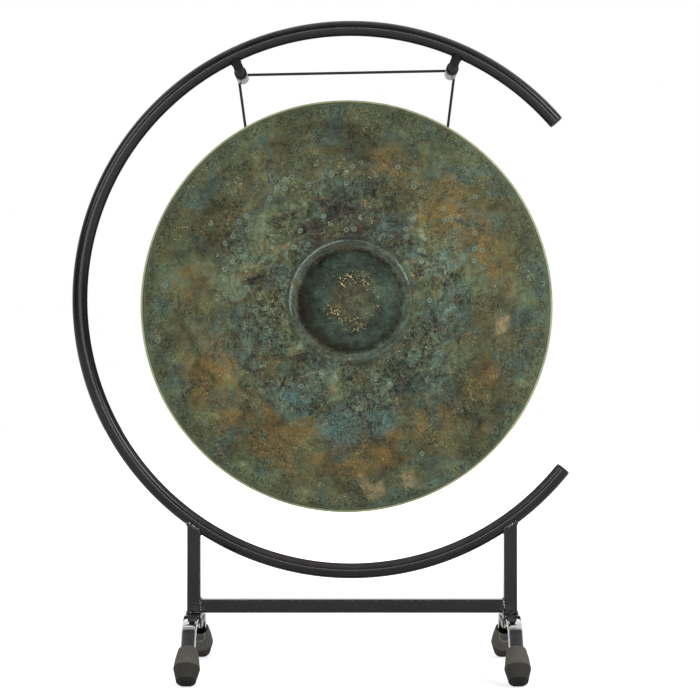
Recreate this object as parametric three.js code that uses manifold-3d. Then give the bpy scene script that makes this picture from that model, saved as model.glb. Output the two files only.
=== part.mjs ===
// Floor stand for a gong: an open ring of round tube on a square tube base with folding legs,
// and the bossed gong that hangs in it on a cord over two pegs.
// Millimetres, +Z up, X across the stand, Y from front to back.
import * as THREE from "three";
import { mergeVertices } from "three/addons/utils/BufferGeometryUtils.js";
import Module from "manifold-3d";

const wasm = await Module();
wasm.setup();

// Fits
const gap = 0.3; // left at every seat and weld, and under the cord
const overrun = 6; // cutting shapes run this far past what they cut

// Ring
const ringRoom = 69.5; // from the gong's edge to the inside of the ring
const ringTubeDiameter = 22.2;
const ringTubeWall = 1.5;
const mouthHalfAngle = 39.45; // degrees from the middle of the mouth to each end cap
const ringTurn = 1.15; // degrees that the ring is welded round from level
const ringRise = 29.7; // lowest point of the ring above the crossbar

// End caps
const capHead = 3;
const capEdge = 1.1;
const capDome = 0.8;
const capSpigot = 9;
const capSpigotDiameter = 16.8;

// Square tube base
const squareTube = 19.05;
const squareTubeWall = 1.5;
const squareTubeCorner = 2;
const uprightSpacing = 457.2;
const baseShift = 1.5; // middle of the base to the right of the ring's middle
const copeHalfAngle = 70; // degrees of the ring to each side of its foot that cut the uprights
const crossbarRise = 0.8; // crossbar above the bracket plates

// Leg brackets
const stanceHeight = 82.5; // floor to the underside of a bracket plate
const bracketSheet = 1.5;
const bracketSideClearance = 0.4;
const bracketLength = 70;
const bracketEarLength = 37;
const bracketEarDepth = 20;
const bracketLipDepth = 5;
const bracketRounding = 2.4;

// Legs
const legWidth = 20.4;
const legDepth = 9;
const legSheet = 1.5;
const legEdge = 1.1;
const legBend = 38;
const legAngle = 50; // degrees below level
const pivotSpacing = 40;
const pivotDrop = 9;

// Pivot rivets
const rivetDiameter = 6;
const rivetHeadDiameter = 10;
const rivetHeadHeight = 2.2;

// Feet
const footReach = 135; // bracket middle to the widest ring of a foot
const footDiameter = 37.4;
const footTopDiameter = 27;
const footTipDiameter = 28;
const footUpperLength = 31;
const footLowerLength = 21;
const footTipRounding = 2;
const footWall = 2.1;
const footCup = 8;
const footSocket = 27;
const footNotchWidth = 14;
const footNotchDepth = 12;
const footNotchSink = 1.5; // its flat floor inside the outside of the top
const soleDepth = 1.1; // cut off the tip where it stands

// Pegs and their sleeves
const pegHalfAngle = 24.75; // degrees from the top of the ring
const pegDiameter = 14;
const pegNeckDiameter = 8;
const pegFlangeDiameter = 13;
const pegFlangeLength = 4;
const pegBodyEnd = 56; // behind the plane of the ring, as the next two
const sleeveEnd = 127;
const grooveEnd = 136.8;
const pegChamfer = 1;
const pegWeldWidth = 10;
const pegWeldLength = 17;
const pegSaddleHalfAngle = 10; // degrees of the ring to each side of a peg that cut its weld
const sleeveDiameter = 18.2;
const sleeveEdge = 0.8;

// Cord
const cordDiameter = 3.5;
const cordHoleDiameter = 6;
const cordHoleHalfAngle = 29.5; // degrees from the top of the gong
const cordHoleDepth = 17; // behind the edge of the gong's face
const cordTail = 24; // past the outside of the rim
const knotDiameter = 9.4;
const knotLength = 8.5;
const knotStand = 5; // outside of the rim to the knot

// Gong
const gongDiameter = 623;
const gongSheet = 2.2;
const gongRimSheet = 3.4;
const gongSink = 6.8; // its middle below the ring's middle
const gongRimDepth = 68;
const gongRimTaper = 15;
const gongShoulder = 14;
const gongFaceRise = 8; // face beside the collar, in front of its edge
const collarDiameter = 192;
const collarHeight = 5;
const collarSlope = 6;
const bossDiameter = 150;
const bossHeight = 34;
const bossOffsetAcross = 6;
const bossOffsetUp = 8;

// Facets
const ringSteps = 76;
const ringEndStep = 0.8; // degrees, short so that both ends come out square
const ringSides = 12;
const boreSides = 8;
const cutterSides = 24;
const roundSides = 16;
const rivetSides = 12;
const footSides = 20;
const gongSides = 60;
const cordSides = 8;
const wrapSteps = 5;
const spanSteps = 12;
const dropSteps = 8;
const arcSteps = 3;

const ringInsideDiameter = gongDiameter + 2 * ringRoom;
const ringTubeRadius = ringTubeDiameter / 2;
const ringRadius = ringInsideDiameter / 2 + ringTubeRadius;
const plateTop = stanceHeight + bracketSheet;
const crossbarHeight = plateTop + crossbarRise + squareTube / 2;
const ringHeight = crossbarHeight + squareTube / 2 + ringRise + ringRadius + ringTubeRadius;
const pegRadius = ringInsideDiameter / 2 - gap - pegDiameter / 2;
const bracketInsideWidth = legWidth + 2 * bracketSideClearance;
const bracketWidth = bracketInsideWidth + 2 * bracketSheet;
const cordRadius = cordDiameter / 2;
const wrapRadius = pegNeckDiameter / 2 + gap + cordRadius;
const cordBack = (sleeveEnd + grooveEnd) / 2; // behind the plane of the ring
const gongRadius = gongDiameter / 2;

const radians = THREE.MathUtils.degToRad;
const along = {
  x: new THREE.Vector3(1, 0, 0),
  y: new THREE.Vector3(0, 1, 0),
  z: new THREE.Vector3(0, 0, 1),
};

// A point at an angle in degrees round the origin or a given centre.
function polar(radius, degrees, centre = new THREE.Vector2()) {
  const angle = radians(degrees);
  return new THREE.Vector2(Math.cos(angle), Math.sin(angle)).multiplyScalar(radius).add(centre);
}

// Points along an arc, both ends included.
function arc(radius, from, to, steps, centre) {
  return Array.from({ length: steps + 1 }, (_, i) =>
    polar(radius, THREE.MathUtils.lerp(from, to, i / steps), centre),
  );
}

// The corners of a regular polygon.
function circle(radius, sides) {
  return arc(radius, 0, 360, sides).slice(1);
}

// A point of the front view (X, Z) placed in space.
function standing(point, y = 0) {
  return new THREE.Vector3(point.x, y, point.y);
}

// A path that gives an extrusion one section at each of its points, square to the turn there.
class Route extends THREE.Curve {
  constructor(points) {
    super();
    this.points = points;
  }

  getPointAt(share) {
    return this.points[Math.round(share * (this.points.length - 1))].clone();
  }

  getTangentAt(share) {
    const last = this.points.length - 1;
    const here = Math.round(share * last);
    const arriving = this.points[here].clone().sub(this.points[Math.max(here - 1, 0)]);
    const leaving = this.points[Math.min(here + 1, last)].clone().sub(this.points[here]);
    return arriving.normalize().add(leaving.normalize()).normalize();
  }
}

// A rod or tube along points in space: the section's outline, and its bore's if it has one.
function tube(points, outline, bore) {
  const section = new THREE.Shape(outline);
  if (bore) section.holes.push(new THREE.Path(bore));
  return new THREE.ExtrudeGeometry(section, {
    steps: points.length - 1,
    extrudePath: new Route(points),
  });
}

// A closed outline with every corner rounded off over the same distance.
function rounded(corners, rounding) {
  const shape = new THREE.Shape();
  corners.forEach((corner, i) => {
    const before = corners.at(i - 1);
    const after = corners[(i + 1) % corners.length];
    const enter = before.clone().sub(corner).setLength(rounding).add(corner);
    const leave = after.clone().sub(corner).setLength(rounding).add(corner);
    if (i === 0) shape.moveTo(enter.x, enter.y);
    else shape.lineTo(enter.x, enter.y);
    shape.quadraticCurveTo(corner.x, corner.y, leave.x, leave.y);
  });
  shape.closePath();
  return shape;
}

// The corners of a rectangle centred on the origin.
function rectangle(width, height) {
  return [
    new THREE.Vector2(-width / 2, -height / 2),
    new THREE.Vector2(width / 2, -height / 2),
    new THREE.Vector2(width / 2, height / 2),
    new THREE.Vector2(-width / 2, height / 2),
  ];
}

// A body of one width, centred across X, from its outline in the side view (Y, Z).
function acrossX(outline, width, edge = 0) {
  const depth = width - 2 * edge;
  const body = new THREE.ExtrudeGeometry(outline, {
    depth,
    curveSegments: arcSteps,
    bevelEnabled: edge > 0,
    bevelSize: edge,
    bevelThickness: edge,
    bevelOffset: -edge,
    bevelSegments: 1,
  });
  body.translate(0, 0, -depth / 2);
  return body.applyMatrix4(new THREE.Matrix4().makeBasis(along.y, along.z, along.x));
}

// A turned body about the Y axis from its profile of radius and height.
function turned(profile, sides) {
  return new THREE.LatheGeometry(
    profile.map(([radius, height]) => new THREE.Vector2(radius, height)),
    sides,
  );
}

// A closed geometry as a body that can be joined and cut.
function solid(geometry) {
  const bare = geometry.clone();
  bare.deleteAttribute("normal");
  bare.deleteAttribute("uv");
  const merged = mergeVertices(bare);
  return new wasm.Manifold(
    new wasm.Mesh({
      numProp: 3,
      vertProperties: merged.attributes.position.array,
      triVerts: new Uint32Array(merged.index.array),
    }),
  );
}

// The geometry of a joined or cut body.
function surface(body) {
  const mesh = body.getMesh();
  const geometry = new THREE.BufferGeometry();
  geometry.setAttribute("position", new THREE.BufferAttribute(mesh.vertProperties, mesh.numProp));
  geometry.setIndex(new THREE.BufferAttribute(mesh.triVerts, 1));
  return geometry;
}

// One geometry with others cut away.
function cut(geometry, ...tools) {
  return surface(tools.reduce((body, tool) => body.subtract(solid(tool)), solid(geometry)));
}

function piece(name, geometry, finish) {
  const shown = geometry.index ? geometry.toNonIndexed() : geometry;
  shown.computeVertexNormals();
  const mesh = new THREE.Mesh(shown, new THREE.MeshStandardMaterial(finish));
  mesh.name = name;
  return mesh;
}

// Finishes
const blackPaint = { color: 0x1b1b1c, roughness: 0.42, metalness: 0.1 };
const blackPlastic = { color: 0x161617, roughness: 0.5, metalness: 0 };
const chrome = { color: 0xd7d9dc, roughness: 0.08, metalness: 1 };
const zinc = { color: 0xa9acae, roughness: 0.3, metalness: 0.9 };
const blackRubber = { color: 0x2b2b2a, roughness: 0.75, metalness: 0 };
const greyVinyl = { color: 0x9b9b98, roughness: 0.3, metalness: 0 };
const blackCord = { color: 0x0d0d0e, roughness: 0.85, metalness: 0 };
const agedBronze = { color: 0x4b5648, roughness: 0.6, metalness: 0.6 };

// The ring's round tube between two angles, grown by a clearance, as a solid rod to cut with.
function ringRod(from, to) {
  const route = arc(ringRadius, from, to, ringSteps).map((point) => standing(point));
  return tube(route, circle(ringTubeRadius + gap, cutterSides));
}

function ringTube() {
  const endAngle = mouthHalfAngle + THREE.MathUtils.radToDeg((capHead + gap) / ringRadius);
  const route = [
    polar(ringRadius, endAngle),
    ...arc(ringRadius, endAngle + ringEndStep, 360 - endAngle - ringEndStep, ringSteps),
    polar(ringRadius, -endAngle),
  ];
  const bore = circle(ringTubeRadius - ringTubeWall, boreSides);
  return tube(route.map((point) => standing(point)), circle(ringTubeRadius, ringSides), bore);
}

// A cap with its spigot in the tube and its head outside, facing +Y.
function endCap() {
  const spigotRadius = capSpigotDiameter / 2;
  return turned(
    [
      [0, -capSpigot],
      [spigotRadius - capEdge, -capSpigot],
      [spigotRadius, capEdge - capSpigot],
      [spigotRadius, gap],
      [ringTubeRadius, gap],
      [ringTubeRadius, gap + capHead - capDome - capEdge],
      [ringTubeRadius - capEdge, gap + capHead - capDome],
      [ringTubeRadius / 2, gap + capHead - capDome / 4],
      [0, gap + capHead],
    ],
    roundSides,
  );
}

// A length of square tube along Z, with both ends open.
function squareLength(length) {
  const section = rounded(rectangle(squareTube, squareTube), squareTubeCorner);
  const bore = squareTube - 2 * squareTubeWall;
  section.holes.push(new THREE.Path(rectangle(bore, bore)));
  return new THREE.ExtrudeGeometry(section, {
    depth: length,
    bevelEnabled: false,
    curveSegments: arcSteps,
  });
}

// An upright from a bracket plate to the ring, coped to the ring's underside.
function upright(side) {
  const foot = plateTop + gap;
  const raw = squareLength(ringHeight - foot);
  raw.translate(baseShift + (side * uprightSpacing) / 2, 0, foot);
  const saddle = ringRod(-90 - copeHalfAngle, -90 + copeHalfAngle).translate(0, 0, ringHeight);
  const inside = new THREE.CylinderGeometry(
    ringRadius,
    ringRadius,
    squareTube + 2 * overrun,
    2 * ringSteps,
  );
  return cut(raw, saddle, inside.translate(0, 0, ringHeight));
}

function crossbar() {
  const length = uprightSpacing - squareTube - 2 * gap;
  const bar = squareLength(length).translate(0, 0, -length / 2);
  return bar.rotateY(Math.PI / 2).translate(baseShift, 0, crossbarHeight);
}

// A peg welded under the ring's top: its body, the neck for sleeve and cord, and the end flange.
function peg() {
  const body = pegDiameter / 2;
  const neck = pegNeckDiameter / 2;
  const flange = pegFlangeDiameter / 2;
  const flangeEnd = grooveEnd + pegFlangeLength;
  const rod = turned(
    [
      [0, -ringTubeRadius],
      [body - pegChamfer, -ringTubeRadius],
      [body, pegChamfer - ringTubeRadius],
      [body, pegBodyEnd],
      [neck, pegBodyEnd],
      [neck, grooveEnd],
      [flange, grooveEnd],
      [flange, flangeEnd - pegChamfer],
      [flange - pegChamfer, flangeEnd],
      [0, flangeEnd],
    ],
    roundSides,
  );
  rod.translate(0, 0, pegRadius);
  const rise = ringRadius - pegRadius;
  const weld = new THREE.BoxGeometry(pegWeldWidth, pegWeldLength, rise);
  weld.translate(0, 0, pegRadius + rise / 2);
  const saddle = solid(ringRod(90 - pegSaddleHalfAngle, 90 + pegSaddleHalfAngle));
  return surface(solid(rod).add(solid(weld)).subtract(saddle));
}

// The soft sleeve that fills a peg's neck up to the cord.
function pegSleeve() {
  const bore = pegNeckDiameter / 2 + gap;
  const outside = sleeveDiameter / 2;
  const near = pegBodyEnd + gap;
  const body = turned(
    [
      [bore, near],
      [outside - sleeveEdge, near],
      [outside, near + sleeveEdge],
      [outside, sleeveEnd - sleeveEdge],
      [outside - sleeveEdge, sleeveEnd],
      [bore, sleeveEnd],
      [bore, near],
    ],
    roundSides,
  );
  return body.translate(0, 0, pegRadius);
}

// A rod across X to cut a pivot hole, at a point of the side view.
function pivotHole(y, z) {
  const radius = rivetDiameter / 2 + gap;
  const rod = new THREE.CylinderGeometry(radius, radius, bracketWidth + 2 * overrun, roundSides);
  return rod.rotateZ(Math.PI / 2).translate(0, y, z);
}

// A folded bracket: a plate under the upright with an ear down each side of the legs.
function legBracket() {
  const half = bracketLength / 2;
  const ear = bracketEarLength / 2;
  const outline = rounded(
    [
      new THREE.Vector2(-half, plateTop),
      new THREE.Vector2(-half, plateTop - bracketLipDepth),
      new THREE.Vector2(-ear, plateTop - bracketEarDepth),
      new THREE.Vector2(ear, plateTop - bracketEarDepth),
      new THREE.Vector2(half, plateTop - bracketLipDepth),
      new THREE.Vector2(half, plateTop),
    ],
    bracketRounding,
  );
  const hollowHeight = bracketEarDepth + overrun;
  const hollow = new THREE.BoxGeometry(
    bracketInsideWidth,
    bracketLength + 2 * overrun,
    hollowHeight,
  );
  hollow.translate(0, 0, stanceHeight - hollowHeight / 2);
  const pivotHeight = stanceHeight - pivotDrop;
  return cut(
    acrossX(outline, bracketWidth, bracketSheet / 2),
    hollow,
    pivotHole(-pivotSpacing / 2, pivotHeight),
    pivotHole(pivotSpacing / 2, pivotHeight),
  );
}

// The side view of a leg that reaches out along +Y, its steep part in line with the foot.
const leg = (() => {
  const slope = radians(legAngle);
  const down = new THREE.Vector2(Math.cos(slope), -Math.sin(slope));
  const out = new THREE.Vector2(Math.sin(slope), Math.cos(slope));
  const tipInset = footLowerLength - footTipRounding;
  const tipDrop = tipInset * Math.sin(slope) + footTipRounding;
  const heelDrop = (footTipDiameter / 2 - footTipRounding) * Math.cos(slope);
  const footCentre = new THREE.Vector2(footReach, tipDrop + heelDrop - soleDepth);
  const webTop = stanceHeight - gap;
  const onSlope = footCentre.clone().addScaledVector(out, legDepth / 2);
  const cornerReach = onSlope.x + ((onSlope.y - webTop) / Math.sin(slope)) * Math.cos(slope);
  const bendReach = cornerReach - legBend * Math.tan(slope / 2);
  return {
    down,
    out,
    footCentre,
    webTop,
    onSlope,
    bendCentre: new THREE.Vector2(bendReach, webTop - legBend),
    pivot: new THREE.Vector2(pivotSpacing / 2, stanceHeight - pivotDrop),
  };
})();

// A leg's web line at a depth below its top, from a start to a stop along the steep part.
function legLine(depth, start, stop) {
  const bend = arc(legBend - depth, 90, 90 - legAngle, 2 * arcSteps, leg.bendCentre);
  const end = leg.onSlope.clone().addScaledVector(leg.out, -depth).addScaledVector(leg.down, stop);
  return [new THREE.Vector2(start, leg.webTop - depth), ...bend, end];
}

// A pressed channel, open below, rounded off about its pivot and ending inside the foot.
function foldingLeg() {
  const stop = footSocket - footUpperLength;
  const ear = pivotDrop - gap;
  const earTurn = THREE.MathUtils.radToDeg(Math.asin((legDepth - ear) / ear));
  const earStart = leg.pivot.x + ear * Math.cos(radians(earTurn));
  const outline = new THREE.Shape([
    ...legLine(0, leg.pivot.x, stop),
    ...legLine(legDepth, earStart, stop).reverse(),
    ...arc(ear, -earTurn, -270, 4 * arcSteps, leg.pivot).slice(1, -1),
  ]);
  const under = legLine(legSheet, leg.pivot.x - ear - overrun, stop + overrun);
  const hollow = new THREE.Shape([
    ...under,
    new THREE.Vector2(under.at(-1).x, 0),
    new THREE.Vector2(under[0].x, 0),
  ]);
  return cut(
    acrossX(outline, legWidth, legEdge),
    acrossX(hollow, legWidth - 2 * legSheet),
    pivotHole(leg.pivot.x, leg.pivot.y),
  );
}

// A rivet through both ears and both flanges, with a domed head outside each ear.
function pivotRivet() {
  const shank = rivetDiameter / 2;
  const head = rivetHeadDiameter / 2;
  const seat = bracketWidth / 2 + gap;
  const half = [
    [shank, seat],
    [head, seat],
    [head, seat + rivetHeadHeight / 4],
    [(head * 4) / 5, seat + (rivetHeadHeight * 3) / 4],
    [head / 2, seat + rivetHeadHeight],
    [0, seat + rivetHeadHeight],
  ];
  const mirrored = half.map(([radius, height]) => [radius, -height]).reverse();
  return turned([...mirrored, ...half], rivetSides).rotateZ(Math.PI / 2);
}

// A hollow-topped rubber foot on the end of the leg, cut flat where it stands on the floor.
function rubberFoot() {
  const top = footTopDiameter / 2;
  const widest = footDiameter / 2;
  const tip = footTipDiameter / 2;
  const length = footUpperLength + footLowerLength;
  const cupShare = 0.94; // cup floor's radius of its mouth's
  const bulgeShare = 0.6; // radius gained at half height of the upper cone
  const lip = footWall / 2;
  const round = arc(footTipRounding, 0, 90, arcSteps).map((point) => [
    tip - footTipRounding + point.x,
    length - footTipRounding + point.y,
  ]);
  const body = turned(
    [
      [0, footCup],
      [(top - footWall) * cupShare, footCup],
      [top - footWall, lip],
      [top - lip, 0],
      [top, lip],
      [top + (widest - top) * bulgeShare, footUpperLength / 2],
      [widest, footUpperLength],
      ...round,
      [0, length],
    ],
    footSides,
  );
  body.translate(0, -footUpperLength, 0);
  const notch = new THREE.CylinderGeometry(
    footNotchWidth / 2,
    footNotchWidth / 2,
    footTopDiameter,
    roundSides,
  );
  notch.rotateX(Math.PI / 2).translate(0, footNotchDepth - footNotchWidth / 2, 0);
  const mouth = new THREE.BoxGeometry(footNotchWidth, footNotchDepth, footTopDiameter);
  mouth.translate(0, (footNotchDepth - footNotchWidth) / 2, 0);
  for (const shape of [notch, mouth]) {
    shape.translate(0, -footUpperLength, footNotchSink - footTopDiameter);
  }
  const pocket = new THREE.Shape([
    ...legLine(-gap, leg.pivot.x, footSocket - footUpperLength + gap),
    ...legLine(legDepth + gap, leg.pivot.x, footSocket - footUpperLength + gap).reverse(),
  ]);
  for (const shape of [body, notch, mouth]) {
    shape.rotateX(-radians(legAngle)).translate(0, leg.footCentre.x, leg.footCentre.y);
  }
  const floor = new THREE.BoxGeometry(2 * footDiameter, 2 * footDiameter, footDiameter);
  floor.translate(0, footReach, -footDiameter / 2);
  return cut(body, notch, mouth, acrossX(pocket, legWidth + 2 * gap), floor);
}

// The gong's profile of radius and depth from its apex to its open edge, one skin of the sheet.
function gongSkin(inset, rimInset, domeSteps, shoulderSteps) {
  const boss = bossDiameter / 2;
  const collar = collarDiameter / 2;
  const grooveShare = 0.45; // depth of the groove beside the boss, of the collar's height
  const domeFoot = -gongFaceRise - collarHeight * grooveShare + inset;
  const dome = arc(1, 90, 0, domeSteps).map((point) => [
    (boss - inset) * point.x,
    domeFoot - (bossHeight - collarHeight * grooveShare) * point.y,
  ]);
  const shoulder = arc(1, 90, 0, shoulderSteps).map((point) => [
    gongRadius - gongShoulder + (gongShoulder - inset) * point.x,
    gongShoulder - (gongShoulder - inset) * point.y,
  ]);
  const bulgeShare = 0.62; // of the face's rise that is left halfway out
  return [
    ...dome,
    [boss + collarSlope / 2, domeFoot - (collarHeight * (1 - grooveShare)) / 2],
    [boss + collarSlope, -gongFaceRise - collarHeight + inset],
    [collar - collarSlope, -gongFaceRise - collarHeight + inset],
    [collar, -gongFaceRise + inset],
    [(collar + gongRadius) / 2, -gongFaceRise * bulgeShare + inset],
    ...shoulder,
    [gongRadius - gongRimTaper - rimInset, gongRimDepth],
  ];
}

// The sheet gong before it is drilled, its boss struck off the middle.
function plainGong() {
  const outer = gongSkin(0, 0, 7, 4);
  const inner = gongSkin(gongSheet, gongRimSheet, 5, 2);
  const gong = turned([...outer, ...inner.reverse()], gongSides);
  const places = gong.attributes.position;
  const offset = new THREE.Vector2(bossOffsetAcross, bossOffsetUp);
  for (let i = 0; i < places.count; i += 1) {
    const radius = Math.hypot(places.getX(i), places.getZ(i));
    const share = 1 - THREE.MathUtils.smoothstep(radius, collarDiameter / 2, gongRadius - gongShoulder);
    places.setX(i, places.getX(i) + offset.x * share);
    places.setZ(i, places.getZ(i) + offset.y * share);
  }
  return gong;
}

// How far behind the edge of its face the gong's centre of mass lies.
function balanceDepth(geometry) {
  const mesh = solid(geometry).getMesh();
  const corner = (i) => new THREE.Vector3().fromArray(mesh.vertProperties, mesh.triVerts[i] * mesh.numProp);
  let volume = 0;
  let moment = 0;
  for (let i = 0; i < mesh.triVerts.length; i += 3) {
    const [a, b, c] = [corner(i), corner(i + 1), corner(i + 2)];
    const share = a.dot(b.clone().cross(c)) / 6;
    volume += share;
    moment += (share * (a.y + b.y + c.y)) / 4;
  }
  return moment / volume;
}

const rawGong = plainGong();
const gongBalance = balanceDepth(rawGong);

// The rim's outside radius at a depth behind the face.
function rimRadius(depth) {
  const share = Math.max(depth - gongShoulder, 0) / (gongRimDepth - gongShoulder);
  return gongRadius - gongRimTaper * share;
}

// Each side of the hanging, about the ring's middle: the cord leaves the peg's neck on its outer
// side and runs straight to the hole in the rim. The gong's centre of mass is under the cord.
const pegPlaces = [1, -1].map((side) => polar(pegRadius, 90 + side * pegHalfAngle + ringTurn));
const gongMiddle = new THREE.Vector2((pegPlaces[0].x + pegPlaces[1].x) / 2, -gongSink);
const gongPlace = standing(gongMiddle, cordBack - gongBalance);
const hangings = [1, -1].map((side, i) => {
  const centre = pegPlaces[i];
  const entry = polar(rimRadius(cordHoleDepth), 90 + side * cordHoleHalfAngle, gongMiddle);
  const away = entry.clone().sub(centre);
  const turn = Math.acos(wrapRadius / away.length());
  const leaveAngle = THREE.MathUtils.radToDeg(Math.atan2(away.y, away.x) - side * turn);
  const leave = standing(polar(wrapRadius, leaveAngle, centre), cordBack);
  const hole = standing(entry, gongPlace.y + cordHoleDepth);
  return { centre, hole, leaveAngle, leave, run: hole.clone().sub(leave).normalize() };
});

// A body made along +Y, turned to the direction given.
function pointed(geometry, direction) {
  return geometry.applyQuaternion(new THREE.Quaternion().setFromUnitVectors(along.y, direction));
}

function drilledGong() {
  const radius = cordHoleDiameter / 2;
  const tools = hangings.map(({ hole, run }) => {
    const drill = new THREE.CylinderGeometry(radius, radius, 2 * cordTail, roundSides);
    const place = hole.clone().sub(gongPlace);
    return pointed(drill, run).translate(place.x, place.y, place.z);
  });
  return cut(rawGong, ...tools);
}

// The cord from one peg's side over both pegs, held taut between them.
function cordSpan() {
  const [left, right] = hangings;
  const clear = THREE.MathUtils.radToDeg((cordRadius + gap) / wrapRadius);
  const top = 90 + ringTurn;
  const leftWrap = arc(wrapRadius, left.leaveAngle + 360 - clear, top, wrapSteps, left.centre);
  const rightWrap = arc(wrapRadius, top, right.leaveAngle + clear, wrapSteps, right.centre);
  const span = Array.from({ length: spanSteps - 1 }, (_, i) =>
    leftWrap.at(-1).clone().lerp(rightWrap[0], (i + 1) / spanSteps),
  );
  const route = [...leftWrap, ...span, ...rightWrap].map((point) => standing(point, cordBack));
  return tube(route, circle(cordRadius, cordSides));
}

// The cord from a peg's side down through the rim, with a stopper knot inside it.
function cordDrop({ leave, hole, run }) {
  const reach = leave.distanceTo(hole) + cordTail;
  const route = Array.from({ length: dropSteps + 1 }, (_, i) =>
    leave.clone().addScaledVector(run, (reach * i) / dropSteps),
  );
  const end = new THREE.SphereGeometry(cordRadius, cordSides, cordSides);
  end.translate(leave.x, leave.y, leave.z);
  const knot = turned(
    [
      [0, 0],
      [knotDiameter / 3, 0],
      [knotDiameter / 2, knotLength / 4],
      [(knotDiameter * 2) / 5, knotLength / 2],
      [knotDiameter / 2, (knotLength * 3) / 4],
      [knotDiameter / 3, knotLength],
      [0, knotLength],
    ],
    cordSides,
  );
  const start = hole.clone().addScaledVector(run, knotStand);
  pointed(knot, run).translate(start.x, start.y, start.z);
  const line = solid(tube(route, circle(cordRadius, cordSides)));
  return surface(line.add(solid(end)).add(solid(knot)));
}

// Base: uprights, crossbar, brackets, and a pair of legs under each
const stand = new THREE.Group();
stand.add(piece("left_upright", upright(-1), blackPaint));
stand.add(piece("right_upright", upright(1), blackPaint));
stand.add(piece("crossbar", crossbar(), blackPaint));
for (const [sideName, side] of [["left", -1], ["right", 1]]) {
  const corner = new THREE.Group();
  corner.position.x = baseShift + (side * uprightSpacing) / 2;
  corner.add(piece(`${sideName}_leg_bracket`, legBracket(), blackPaint));
  for (const [endName, turn] of [["front", Math.PI], ["rear", 0]]) {
    const end = new THREE.Group();
    end.rotation.z = turn;
    const rivet = piece(`${endName}_${sideName}_pivot_rivet`, pivotRivet(), zinc);
    rivet.position.set(0, leg.pivot.x, leg.pivot.y);
    end.add(rivet);
    end.add(piece(`${endName}_${sideName}_leg`, foldingLeg(), chrome));
    end.add(piece(`${endName}_${sideName}_foot`, rubberFoot(), blackRubber));
    corner.add(end);
  }
  stand.add(corner);
}

// Ring: tube, end caps, pegs and sleeves, welded a little round from level
const ring = new THREE.Group();
ring.position.z = ringHeight;
ring.rotation.y = -radians(ringTurn);
ring.add(piece("ring_tube", ringTube(), blackPaint));
for (const [name, side] of [["upper", 1], ["lower", -1]]) {
  const cap = piece(`${name}_end_cap`, endCap(), blackPlastic);
  const tubeEnd = side * (mouthHalfAngle + THREE.MathUtils.radToDeg((capHead + gap) / ringRadius));
  cap.position.copy(standing(polar(ringRadius, tubeEnd)));
  cap.quaternion.setFromUnitVectors(along.y, standing(polar(1, tubeEnd - side * 90)));
  ring.add(cap);
}
for (const [name, side] of [["left", -1], ["right", 1]]) {
  const rod = piece(`${name}_peg`, peg(), blackPaint);
  const sleeve = piece(`${name}_peg_sleeve`, pegSleeve(), greyVinyl);
  for (const mesh of [rod, sleeve]) {
    mesh.rotation.y = side * radians(pegHalfAngle);
    ring.add(mesh);
  }
}
stand.add(ring);

// Hanging: the cord, and the gong with its centre of mass under the cord
const hanging = new THREE.Group();
hanging.position.z = ringHeight;
hanging.add(piece("cord_span", cordSpan(), blackCord));
hanging.add(piece("left_cord_drop", cordDrop(hangings[0]), blackCord));
hanging.add(piece("right_cord_drop", cordDrop(hangings[1]), blackCord));
const gong = piece("gong", drilledGong(), agedBronze);
gong.position.copy(gongPlace);
hanging.add(gong);
stand.add(hanging);

// The origin is on the floor under the middle of the whole.
const group = new THREE.Group();
group.add(stand);
const extent = new THREE.Box3().setFromObject(stand, true);
const middle = extent.getCenter(new THREE.Vector3());
stand.position.set(-middle.x, -middle.y, 0);

export default group;
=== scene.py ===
# Gong stand: an open ring of tube on folding legs, and the bossed gong that hangs in it.
import math

import bpy
import numpy as np
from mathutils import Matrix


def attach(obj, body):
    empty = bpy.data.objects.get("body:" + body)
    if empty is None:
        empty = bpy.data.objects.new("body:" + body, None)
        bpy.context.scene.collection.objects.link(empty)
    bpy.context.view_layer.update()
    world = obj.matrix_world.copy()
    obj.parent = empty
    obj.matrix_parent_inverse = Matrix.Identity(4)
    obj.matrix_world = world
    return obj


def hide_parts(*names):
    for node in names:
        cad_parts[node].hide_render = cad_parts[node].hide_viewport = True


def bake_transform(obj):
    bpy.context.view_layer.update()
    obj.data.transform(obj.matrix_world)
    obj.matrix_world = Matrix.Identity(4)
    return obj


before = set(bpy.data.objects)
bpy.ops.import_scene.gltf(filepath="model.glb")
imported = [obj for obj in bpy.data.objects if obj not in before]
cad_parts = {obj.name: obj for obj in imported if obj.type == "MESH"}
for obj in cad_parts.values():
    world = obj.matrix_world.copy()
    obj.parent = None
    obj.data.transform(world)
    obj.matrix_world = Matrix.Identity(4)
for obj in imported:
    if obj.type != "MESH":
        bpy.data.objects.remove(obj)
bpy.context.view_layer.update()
print("frame loaded:", len(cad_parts), "nodes")

# Lengths in the dictionaries are millimetres and angles are degrees. Meshes are in metres,
# in the row frame: X across the stand, Y from front to back, Z up from the floor.
metre = 0.001
standMiddle = np.array([45.484, -16.196, 0.0])  # middle of the base, on the floor


# What follows makes the shapes. A smooth step goes from 0 at start to 1 at stop.
def smooth(value, start, stop):
    share = np.clip((value - start) / (stop - start), 0, 1)
    return share * share * (3 - 2 * share)


# Turns points about one axis: 0 is X, 1 is Y, 2 is Z.
def turned(points, axis, degrees):
    angle = math.radians(degrees)
    first, second = ((1, 2), (2, 0), (0, 1))[axis]
    moved = points.copy()
    moved[..., first] = points[..., first] * math.cos(angle) - points[..., second] * math.sin(angle)
    moved[..., second] = points[..., first] * math.sin(angle) + points[..., second] * math.cos(angle)
    return moved


# Points of a line in the plane: centre plus radius times cosine and sine of each angle.
def arcLine(centre, radius, start, stop, steps):
    angle = np.radians(np.linspace(start, stop, steps))
    return np.stack([centre[0] + radius * np.cos(angle), centre[1] + radius * np.sin(angle)], -1)


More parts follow.
